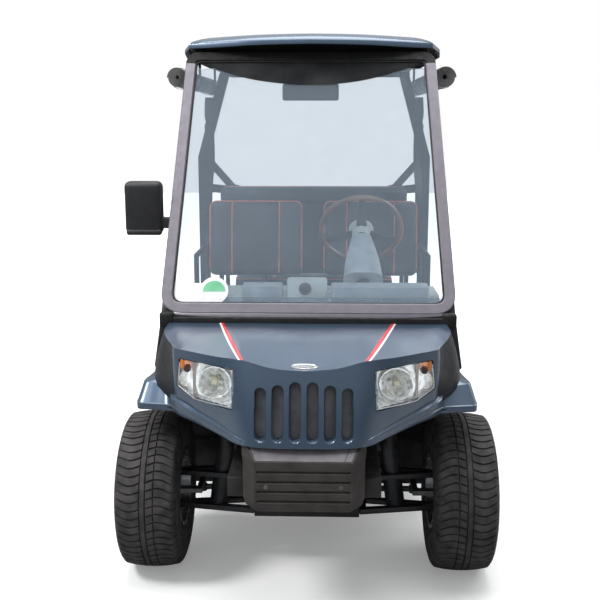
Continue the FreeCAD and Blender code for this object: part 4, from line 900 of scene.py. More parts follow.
LAMP_BOWL = Vector((0.270, -1.134, 0.714))
BOWL_RADIUS = 0.0495
BOWL_RIM = BOWL_RADIUS + 0.001
BOWL_DEPTH = 0.040
BOWL_FACET = 0.0013
BOWL_ROWS = 13
BOWL_TURNS = 40
BOWL_STEP = 0.004
BOWL_WALL = 0.0015
BOWL_RING_RADIUS = 0.0016
COVER_PLACES = (2.0, 6.6)
COVER_RISES = (0.2, 0.99)
COVER_INSET = 0.0052
COVER_OVERLAP = 0.0015
COVER_WALL = 0.003
BUCKET_EDGE = 0.001
BUCKET_INSET = 0.009
BUCKET_DEPTH = 0.020
BUCKET_SHRINK = 0.96
BUCKET_WALL = 0.002
# The side reflector and the bulb, as (depth, radius), and where they sit.
SIDE_BOWL = ((0.0, 0.0225), (0.006, 0.0205), (0.013, 0.013), (0.016, 0.0), (0.018, 0.0), (0.015, 0.0145),
             (0.007, 0.022), (0.0, 0.024), (0.0, 0.0225))
SIDE_BOWL_AT = (0.361, 0.715)
SIDE_BOWL_SHIFT = Vector((-0.001, 0.020, 0))
BULB = ((-0.004, 0.0), (-0.003, 0.008), (0.004, 0.0125), (0.016, 0.0125), (0.036, 0.008), (0.036, 0.0))
BULB_SHIFT = Vector((0, 0.003, 0.004))
# The turn light's amber block and its socket, from the face's point in front of them.
TURN_AT = (0.358, 0.765)
TURN_BLOCK = (Vector((-0.022, 0.012, -0.017)), Vector((0.018, 0.040, 0.014)))
TURN_SOCKET = ((-0.012, 0.0), (-0.012, 0.010), (0.004, 0.012), (0.004, 0.0))
SOCKET_SHIFT = Vector((-0.004, 0.010, -0.013))
DIVIDER_X = 0.331
DIVIDER_Z = (0.668, 0.776)
DIVIDER_HALF = 0.0045
DIVIDER_INSET = 0.012
DIVIDER_DEPTH = 0.020
# The bright trim runs along the opening's foot and its outer side. It and the seal: how far
# inside the outline, how far behind the face, and radius.
TRIM_BELOW = 0.700
TRIM_BEYOND = 0.380
TRIM = (0.0026, 0.0030, 0.0021)
SEAL = (0.0005, 0.0048, 0.0017)


def lamp_edge(inset, steps=5):
    """The headlamp's outline on the driver's side, drawn in by an inset."""
    corners = [Vector((x, 0, z)) for x, z in LAMP_CORE]
    middle = sum(corners, Vector()) / len(corners)
    points = []
    for corner, after in zip(corners, corners[1:] + corners[:1]):
        for step in range(steps):
            spot = corner.lerp(after, step / steps)
            away = (spot - middle).normalized()
            points.append(spot + away * (LAMP_ROUND - inset))
    return points


def behind_edge(points, depth):
    """The points of an outline, laid a depth behind the face."""
    return [spot - out * depth for spot, out in (on_face(point.x, point.z) for point in points)]


def lamp_piece(name, bm, finish, **options):
    """A part of the headlamps, also on the other side of the cart."""
    mirrored(bm)
    return piece_of(name, bm, "chassis", "lamp_glass", finish, **options)


def make_lamp_covers():
    """The clear covers, which follow the face just inside its openings."""
    bm = bmesh.new()

    def cover_at(across, rise):
        spot, out = face_point(between(*COVER_PLACES, across), between(*COVER_RISES, rise))
        return spot - out * COVER_INSET

    verts = mapped_grid(bm, 120, 80, cover_at)
    beyond = [v for v in verts if outside_lamp(v.co.x, v.co.z) > COVER_OVERLAP]
    bmesh.ops.delete(bm, geom=beyond, context="VERTS")
    covers = thickened(lamp_piece("lamp_covers", bm, LAMP_COVER), COVER_WALL)
    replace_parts(covers, "headlamps")


def make_lamp_buckets():
    """The pale walls that run back from the covers to the reflectors."""
    bm = bmesh.new()
    front = behind_edge(lamp_edge(BUCKET_EDGE), BUCKET_INSET)
    deepest = LAMP_BOWL.y + BOWL_STEP
    back = [Vector((spot.x, max(spot.y + BUCKET_DEPTH, deepest), spot.z)) for spot in front]
    middle = sum(back, Vector()) / len(back)
    inner = [middle + (spot - middle) * BUCKET_SHRINK for spot in back]
    hole = []
    for spot in inner:
        way = spot - LAMP_BOWL
        way.y = 0
        hole.append(LAMP_BOWL + way.normalized() * BOWL_RIM + REARWARD * BOWL_STEP)
    skin(bm, (front, inner, hole), capped=False)
    thickened(lamp_piece("lamp_buckets", bm, LAMP_SHELL), BUCKET_WALL)


def make_lamp_reflectors():
    """Round bowls pressed into facets, with a bright ring round each."""
    bowl = bmesh.new()

    def bowl_at(across, along):
        row, step = round(across * BOWL_ROWS), round(along * BOWL_TURNS) % BOWL_TURNS
        radius = BOWL_RADIUS * row / BOWL_ROWS
        facet = BOWL_FACET * ((row + step) % 2) * (0 < row < BOWL_ROWS)
        angle = math.tau * step / BOWL_TURNS
        deep = BOWL_DEPTH * (1 - (radius / BOWL_RADIUS) ** 2) - facet
        return LAMP_BOWL + Vector((math.cos(angle) * radius, deep, math.sin(angle) * radius))

    mapped_grid(bowl, BOWL_ROWS, BOWL_TURNS, bowl_at)
    bmesh.ops.remove_doubles(bowl, verts=bowl.verts, dist=SAME_POINT)
    bmesh.ops.recalc_face_normals(bowl, faces=bowl.faces)
    thickened(lamp_piece("lamp_reflectors", bowl, LAMP_FACETS, sharp=4), BOWL_WALL)
    rings = bmesh.new()
    tube(rings, circle(LAMP_BOWL, REARWARD, BOWL_RIM, 64), BOWL_RING_RADIUS, 3, closed=True)
    lamp_piece("lamp_reflector_rings", rings, BRIGHT_TRIM)


def make_lamp_insides():
    """The side reflectors, the bulbs, the turn lights, and the bars that part them."""
    side_bowl = bmesh.new()
    turned(side_bowl, SIDE_BOWL, on_face(*SIDE_BOWL_AT)[0] + SIDE_BOWL_SHIFT, REARWARD, 20)
    lamp_piece("side_reflectors", side_bowl, LAMP_WHITE, sharp=5)
    bulb = bmesh.new()
    turned(bulb, BULB, LAMP_BOWL + BULB_SHIFT, REARWARD, 24)
    lamp_piece("lamp_bulbs", bulb, WARM_GLASS)
    turn = bmesh.new()
    spot = on_face(*TURN_AT)[0]
    block(turn, spot + TURN_BLOCK[0], spot + TURN_BLOCK[1], 0.004)
    lamp_piece("turn_lights", turn, AMBER)
    socket = bmesh.new()
    turned(socket, TURN_SOCKET, spot + SOCKET_SHIFT, REARWARD, 20)
    lamp_piece("turn_sockets", socket, WARM_DARK)
    divider = bmesh.new()
    foot, head = [on_face(DIVIDER_X, z)[0] + REARWARD * DIVIDER_INSET for z in DIVIDER_Z]
    half = ACROSS * DIVIDER_HALF
    plate(divider, [foot - half, foot + half, head + half, head - half], REARWARD * DIVIDER_DEPTH)
    lamp_piece("lamp_dividers", divider, DIVIDER_GREY)


def make_lamp_trims():
    """A bright trim along the foot of each opening, and a black seal all round it."""
    trim = bmesh.new()
    inset, depth, radius = TRIM
    edge = [point for point in lamp_edge(inset, 10) if point.z < TRIM_BELOW or point.x > TRIM_BEYOND]
    line = behind_edge(edge, depth)
    start = max(range(len(line)), key=lambda index: (line[index] - line[index - 1]).length)
    tube(trim, line[start:] + line[:start], radius, 3)
    lamp_piece("lamp_trims", trim, BRIGHT_TRIM)
    seal = bmesh.new()
    inset, depth, radius = SEAL
    tube(seal, behind_edge(lamp_edge(inset), depth), radius, 3, closed=True)
    lamp_piece("lamp_seals", seal, BLACK_PLASTIC)


def make_headlamps():
    make_lamp_covers()
    make_lamp_buckets()
    make_lamp_reflectors()
    make_lamp_insides()
    make_lamp_trims()


# Front flares and wheel arches

# The flare round the wheel, from its rear to the front corner: foot, lip height, crest, hip, root.
FLARE_SIDE = (
    ((0.500, -0.525, 0.596), 0.019, (0.484, -0.525, 0.652), (0.470, -0.525, 0.662), (0.450, -0.525, 0.770)),
    ((0.518, -0.700, 0.594), 0.020, (0.500, -0.700, 0.658), (0.484, -0.700, 0.667), (0.450, -0.700, 0.790)),
    ((0.530, -0.860, 0.592), 0.021, (0.513, -0.860, 0.664), (0.489, -0.860, 0.670), (0.450, -0.850, 0.805)),
    ((0.536, -0.940, 0.591), 0.021, (0.519, -0.926, 0.667), (0.490, -0.918, 0.674), (0.448, -0.910, 0.800)),
    ((0.5365, -0.984, 0.590), 0.021, (0.518, -0.948, 0.668), (0.485, -0.934, 0.676), (0.446, -0.930, 0.780)),
    ((0.527, -1.008, 0.590), 0.021, (0.509, -0.962, 0.668), (0.478, -0.944, 0.676), (0.443, -0.945, 0.765)),
    ((0.500, -1.014, 0.590), 0.021, (0.490, -0.967, 0.667), (0.468, -0.952, 0.674), (0.438, -0.962, 0.745)),
    ((0.462, -1.017, 0.589), 0.021, (0.459, -0.974, 0.662), (0.451, -0.965, 0.668), (0.428, -0.982, 0.715)),
    ((0.430, -1.022, 0.588), 0.021, (0.433, -0.993, 0.651), (0.430, -0.988, 0.657), (0.416, -1.005, 0.685)),
)
# The same along the face: width, and the heights of foot, lip, crest and root, then how far it stands off.
FLARE_FACE = (
    (0.404, 0.588, 0.610, 0.640, 0.654, 0.014), (0.380, 0.588, 0.609, 0.634, 0.646, 0.012),
    (0.338, 0.586, 0.605, 0.622, 0.632, 0.011), (0.290, 0.583, 0.600, 0.614, 0.622, 0.010),
    (0.240, 0.579, 0.595, 0.606, 0.612, 0.008), (0.200, 0.577, 0.589, 0.599, 0.603, 0.005),
    (0.168, 0.577, 0.585, 0.592, 0.595, 0.0008),
)
# The lip's round over and under: how far its points lie in from its edge, and up.
LIP_IN = 0.0035
LIP_UP = 0.0008
LIP_LEAN = 0.001
LIP_UNDER = 0.014
# The same along the face, where the hip lies at a share of the way from root to crest.
FACE_HIP = 0.6
FACE_HIP_OFF = 0.001
FACE_LIP_IN = 0.0025
FACE_LIP_UNDER = 0.012
ROOT_SUNK = 0.003
FLARE_ROUND = 0.0030
FLARE_WALL = 0.003
FLARE_GAP = 0.0001


def flare_rows():
    """The sections of the flare, each from its root on the body to the underside of its lip."""
    rows = []
    for foot, lip, crest, hip, root in FLARE_SIDE:
        foot, crest = Vector(foot), Vector(crest)
        inward = crest - foot
        inward.z = 0
        inward.normalize()
        top = foot + UP * lip
        rows.append([Vector(root), Vector(hip), crest, top + inward * LIP_IN + UP * LIP_UP, top,
                     foot + inward * LIP_LEAN, foot + inward * LIP_UNDER + UP * LIP_LEAN])
    for x, foot_z, lip_z, crest_z, root_z, off in FLARE_FACE:
        section = []
        for z, away in ((root_z, -ROOT_SUNK), (between(root_z, crest_z, FACE_HIP), FACE_HIP_OFF),
                        (crest_z, off),
                        (lip_z + LIP_UP, off - FACE_LIP_IN), (lip_z, off),
                        (foot_z, off - LIP_LEAN), (foot_z + LIP_LEAN, off - FACE_LIP_UNDER)):
            spot, out = on_face(x, z)
            section.append(spot + out * away)
        rows.append(section)
    return rows


def make_flares():
    """The front flares: a crest and a bright lip that turn the corner and run down into the face."""
    bm = bmesh.new()
    rows = flare_rows()
    lines = [smooth_line([row[index] for row in rows], 7) for index in range(len(rows[0]))]
    sections = [rounded_path([line[step] for line in lines], FLARE_ROUND, 3) for step in range(len(lines[0]))]

    def flare_at(across, along):
        section = sections[round(along * (len(sections) - 1))]
        return section[round(across * (len(section) - 1))]

    mapped_grid(bm, len(sections[0]) - 1, len(sections) - 1, flare_at)
    bmesh.ops.remove_doubles(bm, verts=bm.verts, dist=FLARE_GAP)
    mirrored(bm)
    flares = piece_of("front_flares", bm, "chassis", "body_paint", PAINT, sharp=60)
    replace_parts(flares, "front_fenders")
    thickened(flares, FLARE_WALL)


# The arch over a front wheel seen from the side, from its front down to its rear.
LINER_LINE = ((-1.110, 0.596), (-0.990, 0.606), (-0.900, 0.612), (-0.780, 0.606), (-0.680, 0.572),
              (-0.600, 0.505), (-0.548, 0.420), (-0.535, 0.325))
LINER_INNER = 0.225
# Its outer edge: narrow at the front, wide over the wheel, and a little narrower behind it.
LINER_OUTER = (0.330, 0.510)
LINER_FRONT = -1.11
LINER_WIDENS = 0.16
LINER_REAR = -0.80
LINER_NARROWS = 0.25
LINER_REAR_LESS = 0.03
LINER_WALL = 0.003


def make_wheel_liners():
    """The black inner arches over the front wheels, near-black so that they also stand as painted shade in
    the wheel houses.
    """
    bm = bmesh.new()
    line = smooth_line([Vector((0, y, z)) for y, z in LINER_LINE], 4)

    def liner_at(across, along):
        spot = line[round(along * (len(line) - 1))]
        wide = between(*LINER_OUTER, eased((spot.y - LINER_FRONT) / LINER_WIDENS))
        outer = wide - LINER_REAR_LESS * eased((spot.y - LINER_REAR) / LINER_NARROWS)
        return Vector((between(LINER_INNER, outer, across), spot.y, spot.z))

    mapped_grid(bm, 8, len(line) - 1, liner_at)
    mirrored(bm)
    # Near-black: the liners are real parts and also painted shade for the deep shadow behind the flares.
    thickened(piece_of("wheel_house_liners", bm, "chassis", "black_plastic", DEEP_BLACK), LINER_WALL)


SCUTTLE_SHELF = ((-0.462, -0.826, 0.806), (0.462, -0.790, 0.847))
SCUTTLE_CAP_X = (0.440, 0.488)
SCUTTLE_CAP_Y = (-0.828, -0.772)
SCUTTLE_CAP_Z = (0.812, 0.862)


def make_scuttle():
    """The black shelf between the hood and the windshield, with its end caps."""
    bm = bmesh.new()
    block(bm, *SCUTTLE_SHELF, 0.004)
    for side in SIDES:
        low, high = zip(sorted(side * x for x in SCUTTLE_CAP_X), SCUTTLE_CAP_Y, SCUTTLE_CAP_Z)
        block(bm, low, high, 0.008)
    piece_of("scuttle", bm, "chassis", "black_plastic", DEEP_BLACK)


# The bumper's levels from its foot up: height, front, half widths of front and sides.
BUMPER_FOOT = ((0.390, -1.312, 0.122, 0.150), (0.392, -1.324, 0.130, 0.160), (0.398, -1.331, 0.135, 0.167),
               (0.408, -1.3335, 0.137, 0.171))
BUMPER_BAND = (-1.3335, 0.1385, 0.1745)
BUMPER_HEAD = ((0.5395, -1.3335, 0.139, 0.176), (0.5425, -1.3325, 0.139, 0.1765),
               (0.5440, -1.3300, 0.139, 0.177), (0.5840, -1.2900, 0.168, 0.178),
               (0.5850, -1.2875, 0.168, 0.177))
# The grooves' heights, and each one's section: up from there, and how deep.
GROOVES = (0.4265, 0.4555, 0.4845, 0.5135)
GROOVE_SECTION = ((-0.0062, 0.0), (-0.0018, 0.0060), (0.0022, 0.0072), (0.0034, 0.0072), (0.0036, 0.0))
BUMPER_BACK = -1.240
BUMPER_SIDE_FRONT = -1.284
BUMPER_RIM = (0.006, 0.008)
# The pale strips on the sloping ledge: their ends, and their lower and upper edges.
LEDGE_STRIPS = ((-0.1345, 0.1145), (0.1165, 0.1345))
LEDGE_FOOT = (-1.3300, 0.5445)
LEDGE_HEAD = (-1.2900, 0.5845)
LEDGE_WIDENS = 1.17
LEDGE_LIFT = Vector((0, -0.0008, 0.0008))
LEDGE_SUNK = (0, 0.002, -0.002)
BOLT = ((-0.0012, 0.0), (-0.0012, 0.004), (0.0, 0.0065), (0.003, 0.0065))
BOLT_AT = (0.106, -1.3336, 0.469)


def bumper_outline(front, half, side, deep):
    """The bumper seen from above, from its back round its front, at the depth of a groove."""
    rim, inside = BUMPER_RIM
    corners = [(-side, BUMPER_BACK), (-side, BUMPER_SIDE_FRONT), (-half, front), (-half + rim, front),
               (-half + inside, front + deep)]
    return [Vector((x, y, 0)) for x, y in corners + [(-x, y) for x, y in reversed(corners)]]


def bumper_levels():
    """The bumper's levels from its foot up, each with the depth of the groove there."""
    levels = [(*level, 0.0) for level in BUMPER_FOOT]
    for groove in GROOVES:
        levels += [(groove + lift, *BUMPER_BAND, deep) for lift, deep in GROOVE_SECTION]
    return levels + [(*level, 0.0) for level in BUMPER_HEAD]


def make_bumper():
    """A moulded block with a sloping ledge, level grooves in its front and bevelled sides."""
    bm = bmesh.new()
    skin(bm, [[spot + UP * height for spot in bumper_outline(*level)] for height, *level in bumper_levels()])
    bumper = piece_of("bumper_block", bm, "chassis", "black_plastic", BUMPER_PLASTIC, sharp=20)
    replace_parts(bumper, "front_bumper")
    ledge = bmesh.new()
    for low, high in LEDGE_STRIPS:
        corners = [(low, *LEDGE_FOOT), (high, *LEDGE_FOOT),
                   (high * LEDGE_WIDENS, *LEDGE_HEAD), (low * LEDGE_WIDENS, *LEDGE_HEAD)]
        plate(ledge, [Vector(corner) + LEDGE_LIFT for corner in corners], LEDGE_SUNK)
    piece_of("bumper_ledge_strip", ledge, "chassis", "black_plastic", LEDGE_GREY)
    bolts = bmesh.new()
    x, y, z = BOLT_AT
    for side in SIDES:
        turned(bolts, BOLT, (side * x, y, z), REARWARD, 16)
    piece_of("bumper_bolts", bolts, "chassis", "black_plastic", CAST)


# Windshield

PANE_FOOT = Vector((0, -0.785, 0.842))
PANE_HEAD = Vector((0, -0.350, 1.690))
PANE_HEIGHT = (PANE_HEAD - PANE_FOOT).length
PANE_UP = (PANE_HEAD - PANE_FOOT).normalized()
PANE_OUT = Vector((0, -PANE_UP.z, PANE_UP.y))
PANE_HALF_FOOT = 0.491
PANE_HALF_HEAD = 0.446
CORNER_STEPS = 8
GLASS_FRONT = 0.0168
GLASS_BACK = 0.0110
# Lines inside the frame: inset, foot, head, and the corners' radii at foot and head.
BAR_LOOP = (0.018, 0.022, 0.962, 0.058, 0.030)
SEAL_LOOP = (0.037, 0.041, 0.943, 0.043, 0.016)
# The sections that run along them: half width, half depth, place out of the plane, eased edge.
BAR_SECTION = (0.018, 0.014, 0.014, 0.003)
SEAL_SECTION = (0.0035, 0.007, 0.0155, 0.0015)
# Above this height the frame is black as painted shade, where it lies in the shadow under the roof's front
# bar.
SHADED_HEAD = 1.642
# The glass's foot, which the frame's lower corners leave open.
PANE_STRIP = ((-0.445, 0.036), (0.445, 0.036), (0.445, 0.062), (-0.445, 0.062))
SILL_HALF = 0.462
SILL_TOP = 0.010
SILL_LOW = -0.016
SILL_RISE = 0.014
SILL_OUT = 0.026
SILL_DEPTH = 0.024
SILL_STEPS = 12
LEG_TOP = Vector((0.471, 0, 0)) + PANE_FOOT + PANE_UP * 0.070
LEG_LINE = (LEG_TOP, Vector((0.473, -0.789, 0.842)), Vector((0.498, -0.800, 0.672)))
LEG_HALVES = (0.014, 0.012)
EASED_BAR = 0.003
# The lower edge of the dark strip at the windshield's head, a painted reflection of the roof's dark underside
# in the glass: across, and up from the foot.
REFLECTION_ARC = ((-0.432, 0.9520), (-0.318, 0.9080), (-0.220, 0.8760), (-0.105, 0.8570), (0.000, 0.8510),
             (0.105, 0.8560), (0.210, 0.8740), (0.315, 0.9070), (0.432, 0.9500))
REFLECTION_TOP = ((0.432, PANE_HEIGHT + 0.010), (-0.432, PANE_HEIGHT + 0.010))
# The plain sticker: a pale strip, and a white disc whose upper half is green.
LABEL = ((-0.458, 0.046), (-0.322, 0.044), (-0.322, 0.110), (-0.452, 0.112))
DISC_ACROSS = -0.313
DISC_UP = 0.0850
DISC_RADIUS = 0.0475
HALF_UP = 0.0810
HALF_RADIUS = 0.038


def pane_point(across, up, out=0.0):
    """A point of the windshield's plane: metres across and up from the foot of its frame."""
    return PANE_FOOT + Vector((across, 0, 0)) + PANE_UP * up + PANE_OUT * out


def pane_loop(inset, low, high, radius_low, radius_high):
    """A closed line inside the frame, wider at its foot, with round corners."""
    points = []
    for side, up, radius in ((-1, high, radius_high), (-1, low, radius_low),
                             (1, low, radius_low), (1, high, radius_high)):
        half = between(PANE_HALF_FOOT, PANE_HALF_HEAD, up / PANE_HEIGHT) - inset
        points.append((Vector((side * half, up)), radius))
    loop = []
    for index, (corner, radius) in enumerate(points):
        before, after = points[index - 1][0], points[(index + 1) % len(points)][0]
        start = corner + (before - corner).normalized() * radius
        end = corner + (after - corner).normalized() * radius
        for step in range(CORNER_STEPS + 1):
            share = step / CORNER_STEPS
            loop.append(start.lerp(corner, share).lerp(corner.lerp(end, share), share))
    return loop


def bar_corners(half_wide, half_deep, edge):
    """A rectangular section with its corners cut, as (wide, deep)."""
    corners = []
    for a, b in ((1, 1), (-1, 1), (-1, -1), (1, -1)):
        cut = [(a * half_wide, b * (half_deep - edge)), (a * (half_wide - edge), b * half_deep)]
        corners += cut if a * b > 0 else reversed(cut)
    return corners


def swept_frame(bm, loop, half_wide, half_deep, out, edge):
    """A bar of rectangular section round a closed loop in the windshield's plane."""
    corners = bar_corners(half_wide, half_deep, edge)
    sections = []
    for index, spot in enumerate(loop):
        way = (loop[(index + 1) % len(loop)] - loop[index - 1]).normalized()
        side = Vector((way.y, -way.x))
        sections.append([pane_point(spot.x + side.x * wide, spot.y + side.y * wide, out + deep)
                         for wide, deep in corners])
    skin(bm, sections, joined=True)


def pane_patch(name, outline, rise, finish):
    """A thin flat patch on the front of the windshield's glass."""
    bm = bmesh.new()
    out = GLASS_FRONT + rise
    plate(bm, [pane_point(across, up, out) for across, up in outline], -PANE_OUT * (rise - 0.0001))
    piece_of(name, bm, "chassis", "window_glass", finish)


def disc_edge(up, radius, turn, steps):
    """Points of an arc about the sticker's middle, from its right end round by a turn."""
    angles = [turn * step / steps for step in range(steps + (turn < math.tau))]
    return [(DISC_ACROSS + radius * math.cos(angle), up + radius * math.sin(angle)) for angle in angles]


def make_windshield_frame():
    """The satin frame with round corners, its head black as painted shade, and the seal inside it."""
    bars = bmesh.new()
    swept_frame(bars, pane_loop(*BAR_LOOP), *BAR_SECTION)
    # Painted shade: the frame's head, in the shadow under the roof, takes the black finish.
    for face in bars.faces:
        if face.calc_center_median().z > SHADED_HEAD:
            face.material_index = 1
    frame_bars = piece_of("windshield_bars", bars, "chassis", "frame_satin", SATIN, DEEP_BLACK, sharp=40)
    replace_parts(frame_bars, "windshield_frame")
    seal = bmesh.new()
    swept_frame(seal, pane_loop(*SEAL_LOOP), *SEAL_SECTION)
    piece_of("windshield_seal", seal, "chassis", "frame_black", BLACK_PLASTIC, sharp=40)


def make_windshield_foot():
    """The glass's foot between the frame's lower corners, and the satin sill under it."""
    foot = bmesh.new()
    plate(foot, [pane_point(across, up, GLASS_FRONT) for across, up in PANE_STRIP],
          PANE_OUT * (GLASS_BACK - GLASS_FRONT))
    piece_of("pane_foot", foot, "chassis", "window_glass", PANE)
    sill = bmesh.new()
    shares = [step / SILL_STEPS for step in range(-SILL_STEPS, SILL_STEPS + 1)]
    outline = [(SILL_HALF, SILL_TOP), (-SILL_HALF, SILL_TOP)]
    outline += [(SILL_HALF * share, SILL_LOW + SILL_RISE * share ** 2) for share in shares]
    plate(sill, [pane_point(across, up, SILL_OUT) for across, up in outline], -PANE_OUT * SILL_DEPTH)
    eased_edges(sill, EASED_BAR)
    piece_of("windshield_sill", sill, "chassis", "frame_satin", SATIN, sharp=50)


def make_windshield_legs():
    """The black legs that carry the frame, splayed outwards below it."""
    legs = bmesh.new()
    wide, deep = ACROSS * LEG_HALVES[0], PANE_OUT * LEG_HALVES[1]
    for side in SIDES:
        line = [Vector((side * spot.x, spot.y, spot.z)) for spot in LEG_LINE]
        for ends in zip(line, line[1:]):
            skin(legs, [[p + wide + deep, p - wide + deep, p - wide - deep, p + wide - deep] for p in ends])
    eased_edges(legs, EASED_BAR)
    piece_of("windshield_legs", legs, "chassis", "frame_black", BLACK_METAL)


def make_windshield():
    """The frame on its legs, the glass, a dark strip at its head that is a painted reflection, and a plain
    sticker.
    """
    make_windshield_frame()
    make_windshield_foot()
    make_windshield_legs()
    arc = [(spot.x, spot.y) for spot in smooth_line([Vector((x, up, 0)) for x, up in REFLECTION_ARC], 6)]
    # A painted reflection: the dark strip across the windshield's head.
    pane_patch("windshield_painted_reflection", [*REFLECTION_TOP, *arc], 0.0008, PAINTED_REFLECTION_BLACK)
    pane_patch("windshield_label", LABEL, 0.0006, WHITE_TAPE_AND_HIGHLIGHT)
    pane_patch("windshield_disc", disc_edge(DISC_UP, DISC_RADIUS, math.tau, 48), 0.0010, WHITE_TAPE_AND_HIGHLIGHT)
    pane_patch("windshield_disc_half", disc_edge(HALF_UP, HALF_RADIUS, math.pi, 24), 0.0013, GREEN_INK)
    NODES["windshield_glass"].material_slots[0].material = PANE


# Roof, posts and belts

ROOF_FRONT = -0.430
ROOF_BACK = 1.020
ROOF_LOW = 1.735
ROOF_NARROW = 0.437
ROOF_WIDE = 0.520
# The roof's shell from its rim up to its crown: how far in, and how far up.
ROOF_LEVELS = ((0.0075, 0.0), (0.0, 0.002), (0.0, 0.022), (0.003, 0.030), (0.010, 0.0365), (0.022, 0.0420),
               (0.040, 0.0480), (0.065, 0.0530), (0.100, 0.0555), (0.160, 0.0560), (0.240, 0.0560),
               (0.330, 0.0560))
ROOF_WALL = 0.006
# The front's bow to half and to all of its narrow width, where the sides bulge and where
# they run straight, and the cut of the rear corners.
FRONT_BOW = (0.0175, 0.070)
SIDE_BULGE = 0.012
SIDE_BULGE_BACK = 0.315
SIDE_STRAIGHT_BACK = 0.560
REAR_CORNER = 0.060
# How much those two points of the sides follow the outline when it shrinks.
SIDE_FOLLOWS = (0.6, 0.5)
# The rim rises a little over the middle of the front, and the crown falls to both sides.
RIM_ARCH = 0.011
RIM_ARCH_BACK = 0.10
RIM_ARCH_UP = 0.030
CAMBER = 0.017
CAMBER_UP = 0.045
ROOF_STEPS = 5
ROOF_MIDDLE_Y = 0.3
# The shell is black where it faces down, or inwards and not up.
FACING_DOWN = -0.3
FACING_UP = 0.5
FACING_INWARDS = 0.2
# The rails' front bar is moved back by this, so that it stays behind the roof's rim.
FRONT_BAR_Y = -0.325
FRONT_BAR_BACK = 0.036
# The braces beside the struts, as the outline and the hole of the driver's side.
BRACE_OUTER = ((0.498, 1.350), (0.516, 1.350), (0.520, 1.165), (0.340, 1.150), (0.340, 1.190), (0.362, 1.196))
BRACE_HOLE = ((0.487, 1.290), (0.487, 1.290), (0.487, 1.200), (0.400, 1.190), (0.400, 1.190), (0.404, 1.196))
BRACE_Y = (0.452, 0.474)
BELT_TOP = Vector((0.470, 0.440, 1.455))
BELT_RING = (0.020, 0.026)
BELT_RING_RADIUS = 0.0035
# The strap from the strut to the ring, and the one that hangs from the ring: on the
# driver's side, from the ring's middle.
BELT_UPPER = ((0, 0, 0.130), (0.004, 0, 0.060), (0, 0, 0.022))
BELT_LOWER = ((0, -0.004, -0.020), (-0.004, -0.020, -0.160), (0.004, -0.068, -0.305),
              (0.010, -0.060, -0.555), (0.004, -0.056, -0.655))
BELT_UPPER_HALF = 0.018
BELT_LOWER_HALF = 0.020
BELT_HALF_WALL = 0.001
BELT_TWIST = 0.6
BELT_TWIST_TURNS = 5


def roof_outline(shrink):
    """The roof's outline seen from above: a bowed front that widens to straight sides."""
    narrow, wide = ROOF_NARROW - shrink, ROOF_WIDE - shrink
    front, back = ROOF_FRONT + shrink, ROOF_BACK - shrink
    half = [(0, front), (narrow / 2, front + FRONT_BOW[0]), (narrow, front + FRONT_BOW[1]),
            ((narrow + wide) / 2 + SIDE_BULGE, ROOF_FRONT + SIDE_BULGE_BACK + SIDE_FOLLOWS[0] * shrink),
            (wide, ROOF_FRONT + SIDE_STRAIGHT_BACK + SIDE_FOLLOWS[1] * shrink),
            (wide, back - REAR_CORNER), (wide - REAR_CORNER, back), (0, back)]
    line = []
    for a, b in zip(half, half[1:]):
        for step in range(ROOF_STEPS):
            share = step / ROOF_STEPS
            line.append((between(a[0], b[0], share), between(a[1], b[1], share)))
    line.append(half[-1])
    return line + [(-x, y) for x, y in reversed(line[1:-1])]


def roof_height(x, y, lift):
    """The height of the roof's shell over a point of one of its levels."""
    beside = 1 - min(abs(x) / ROOF_NARROW, 1) ** 2
    behind = 1 - eased((y - ROOF_FRONT) / RIM_ARCH_BACK)
    arch = RIM_ARCH * beside * behind * (1 - eased(lift / RIM_ARCH_UP))
    camber = CAMBER * (abs(x) / ROOF_WIDE) ** 2 * eased(lift / CAMBER_UP)
    return ROOF_LOW + lift + arch - camber


def make_roof_panel():
    """A crowned shell with a rounded rim, hollow and black below."""
    bm = bmesh.new()
    inside = [(shrink + ROOF_WALL, max(lift - ROOF_WALL, 0.0)) for shrink, lift in reversed(ROOF_LEVELS[1:])]
    rings = []
    for shrink, lift in [*inside, *ROOF_LEVELS]:
        rings.append([Vector((x, y, roof_height(x, y, lift))) for x, y in roof_outline(shrink)])
    skin(bm, rings)
    for face in bm.faces:
        spot = face.calc_center_median()
        inward = Vector((-spot.x, ROOF_MIDDLE_Y - spot.y, 0)).normalized()
        within = face.normal.z < FACING_UP and face.normal.dot(inward) > FACING_INWARDS
        if within or face.normal.z < FACING_DOWN:
            face.material_index = 1
    roof = piece_of("roof_panel", bm, "chassis", "body_paint", PAINT, DEEP_BLACK, sharp=50)
    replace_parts(roof, "roof_shell")


def make_roof_frame():
    """The black rails and struts under the roof, and the braces beside the struts."""
    rails = bmesh.new()
    copied(rails, "roof_rails")
    for vert in rails.verts:
        if vert.co.y < FRONT_BAR_Y:
            vert.co.y += FRONT_BAR_BACK
    eased_edges(rails, 0.004)
    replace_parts(piece_of("roof_rail_tubes", rails, "chassis", "liner_black", DEEP_BLACK), "roof_rails")
    softened("roof_struts", "chassis", "frame_black", BLACK_METAL, 0.004)
    braces = bmesh.new()
    front, rear = BRACE_Y
    for side in SIDES:
        skin(braces, [[Vector((side * x, y, z)) for x, z in outline]
                      for outline, y in ((BRACE_OUTER, front), (BRACE_HOLE, front),
                                         (BRACE_HOLE, rear), (BRACE_OUTER, rear))], joined=True)
    bmesh.ops.remove_doubles(braces, verts=braces.verts, dist=SAME_POINT)
    bmesh.ops.recalc_face_normals(braces, faces=braces.faces)
    piece_of("strut_braces", braces, "chassis", "frame_black", BLACK_METAL, sharp=30)


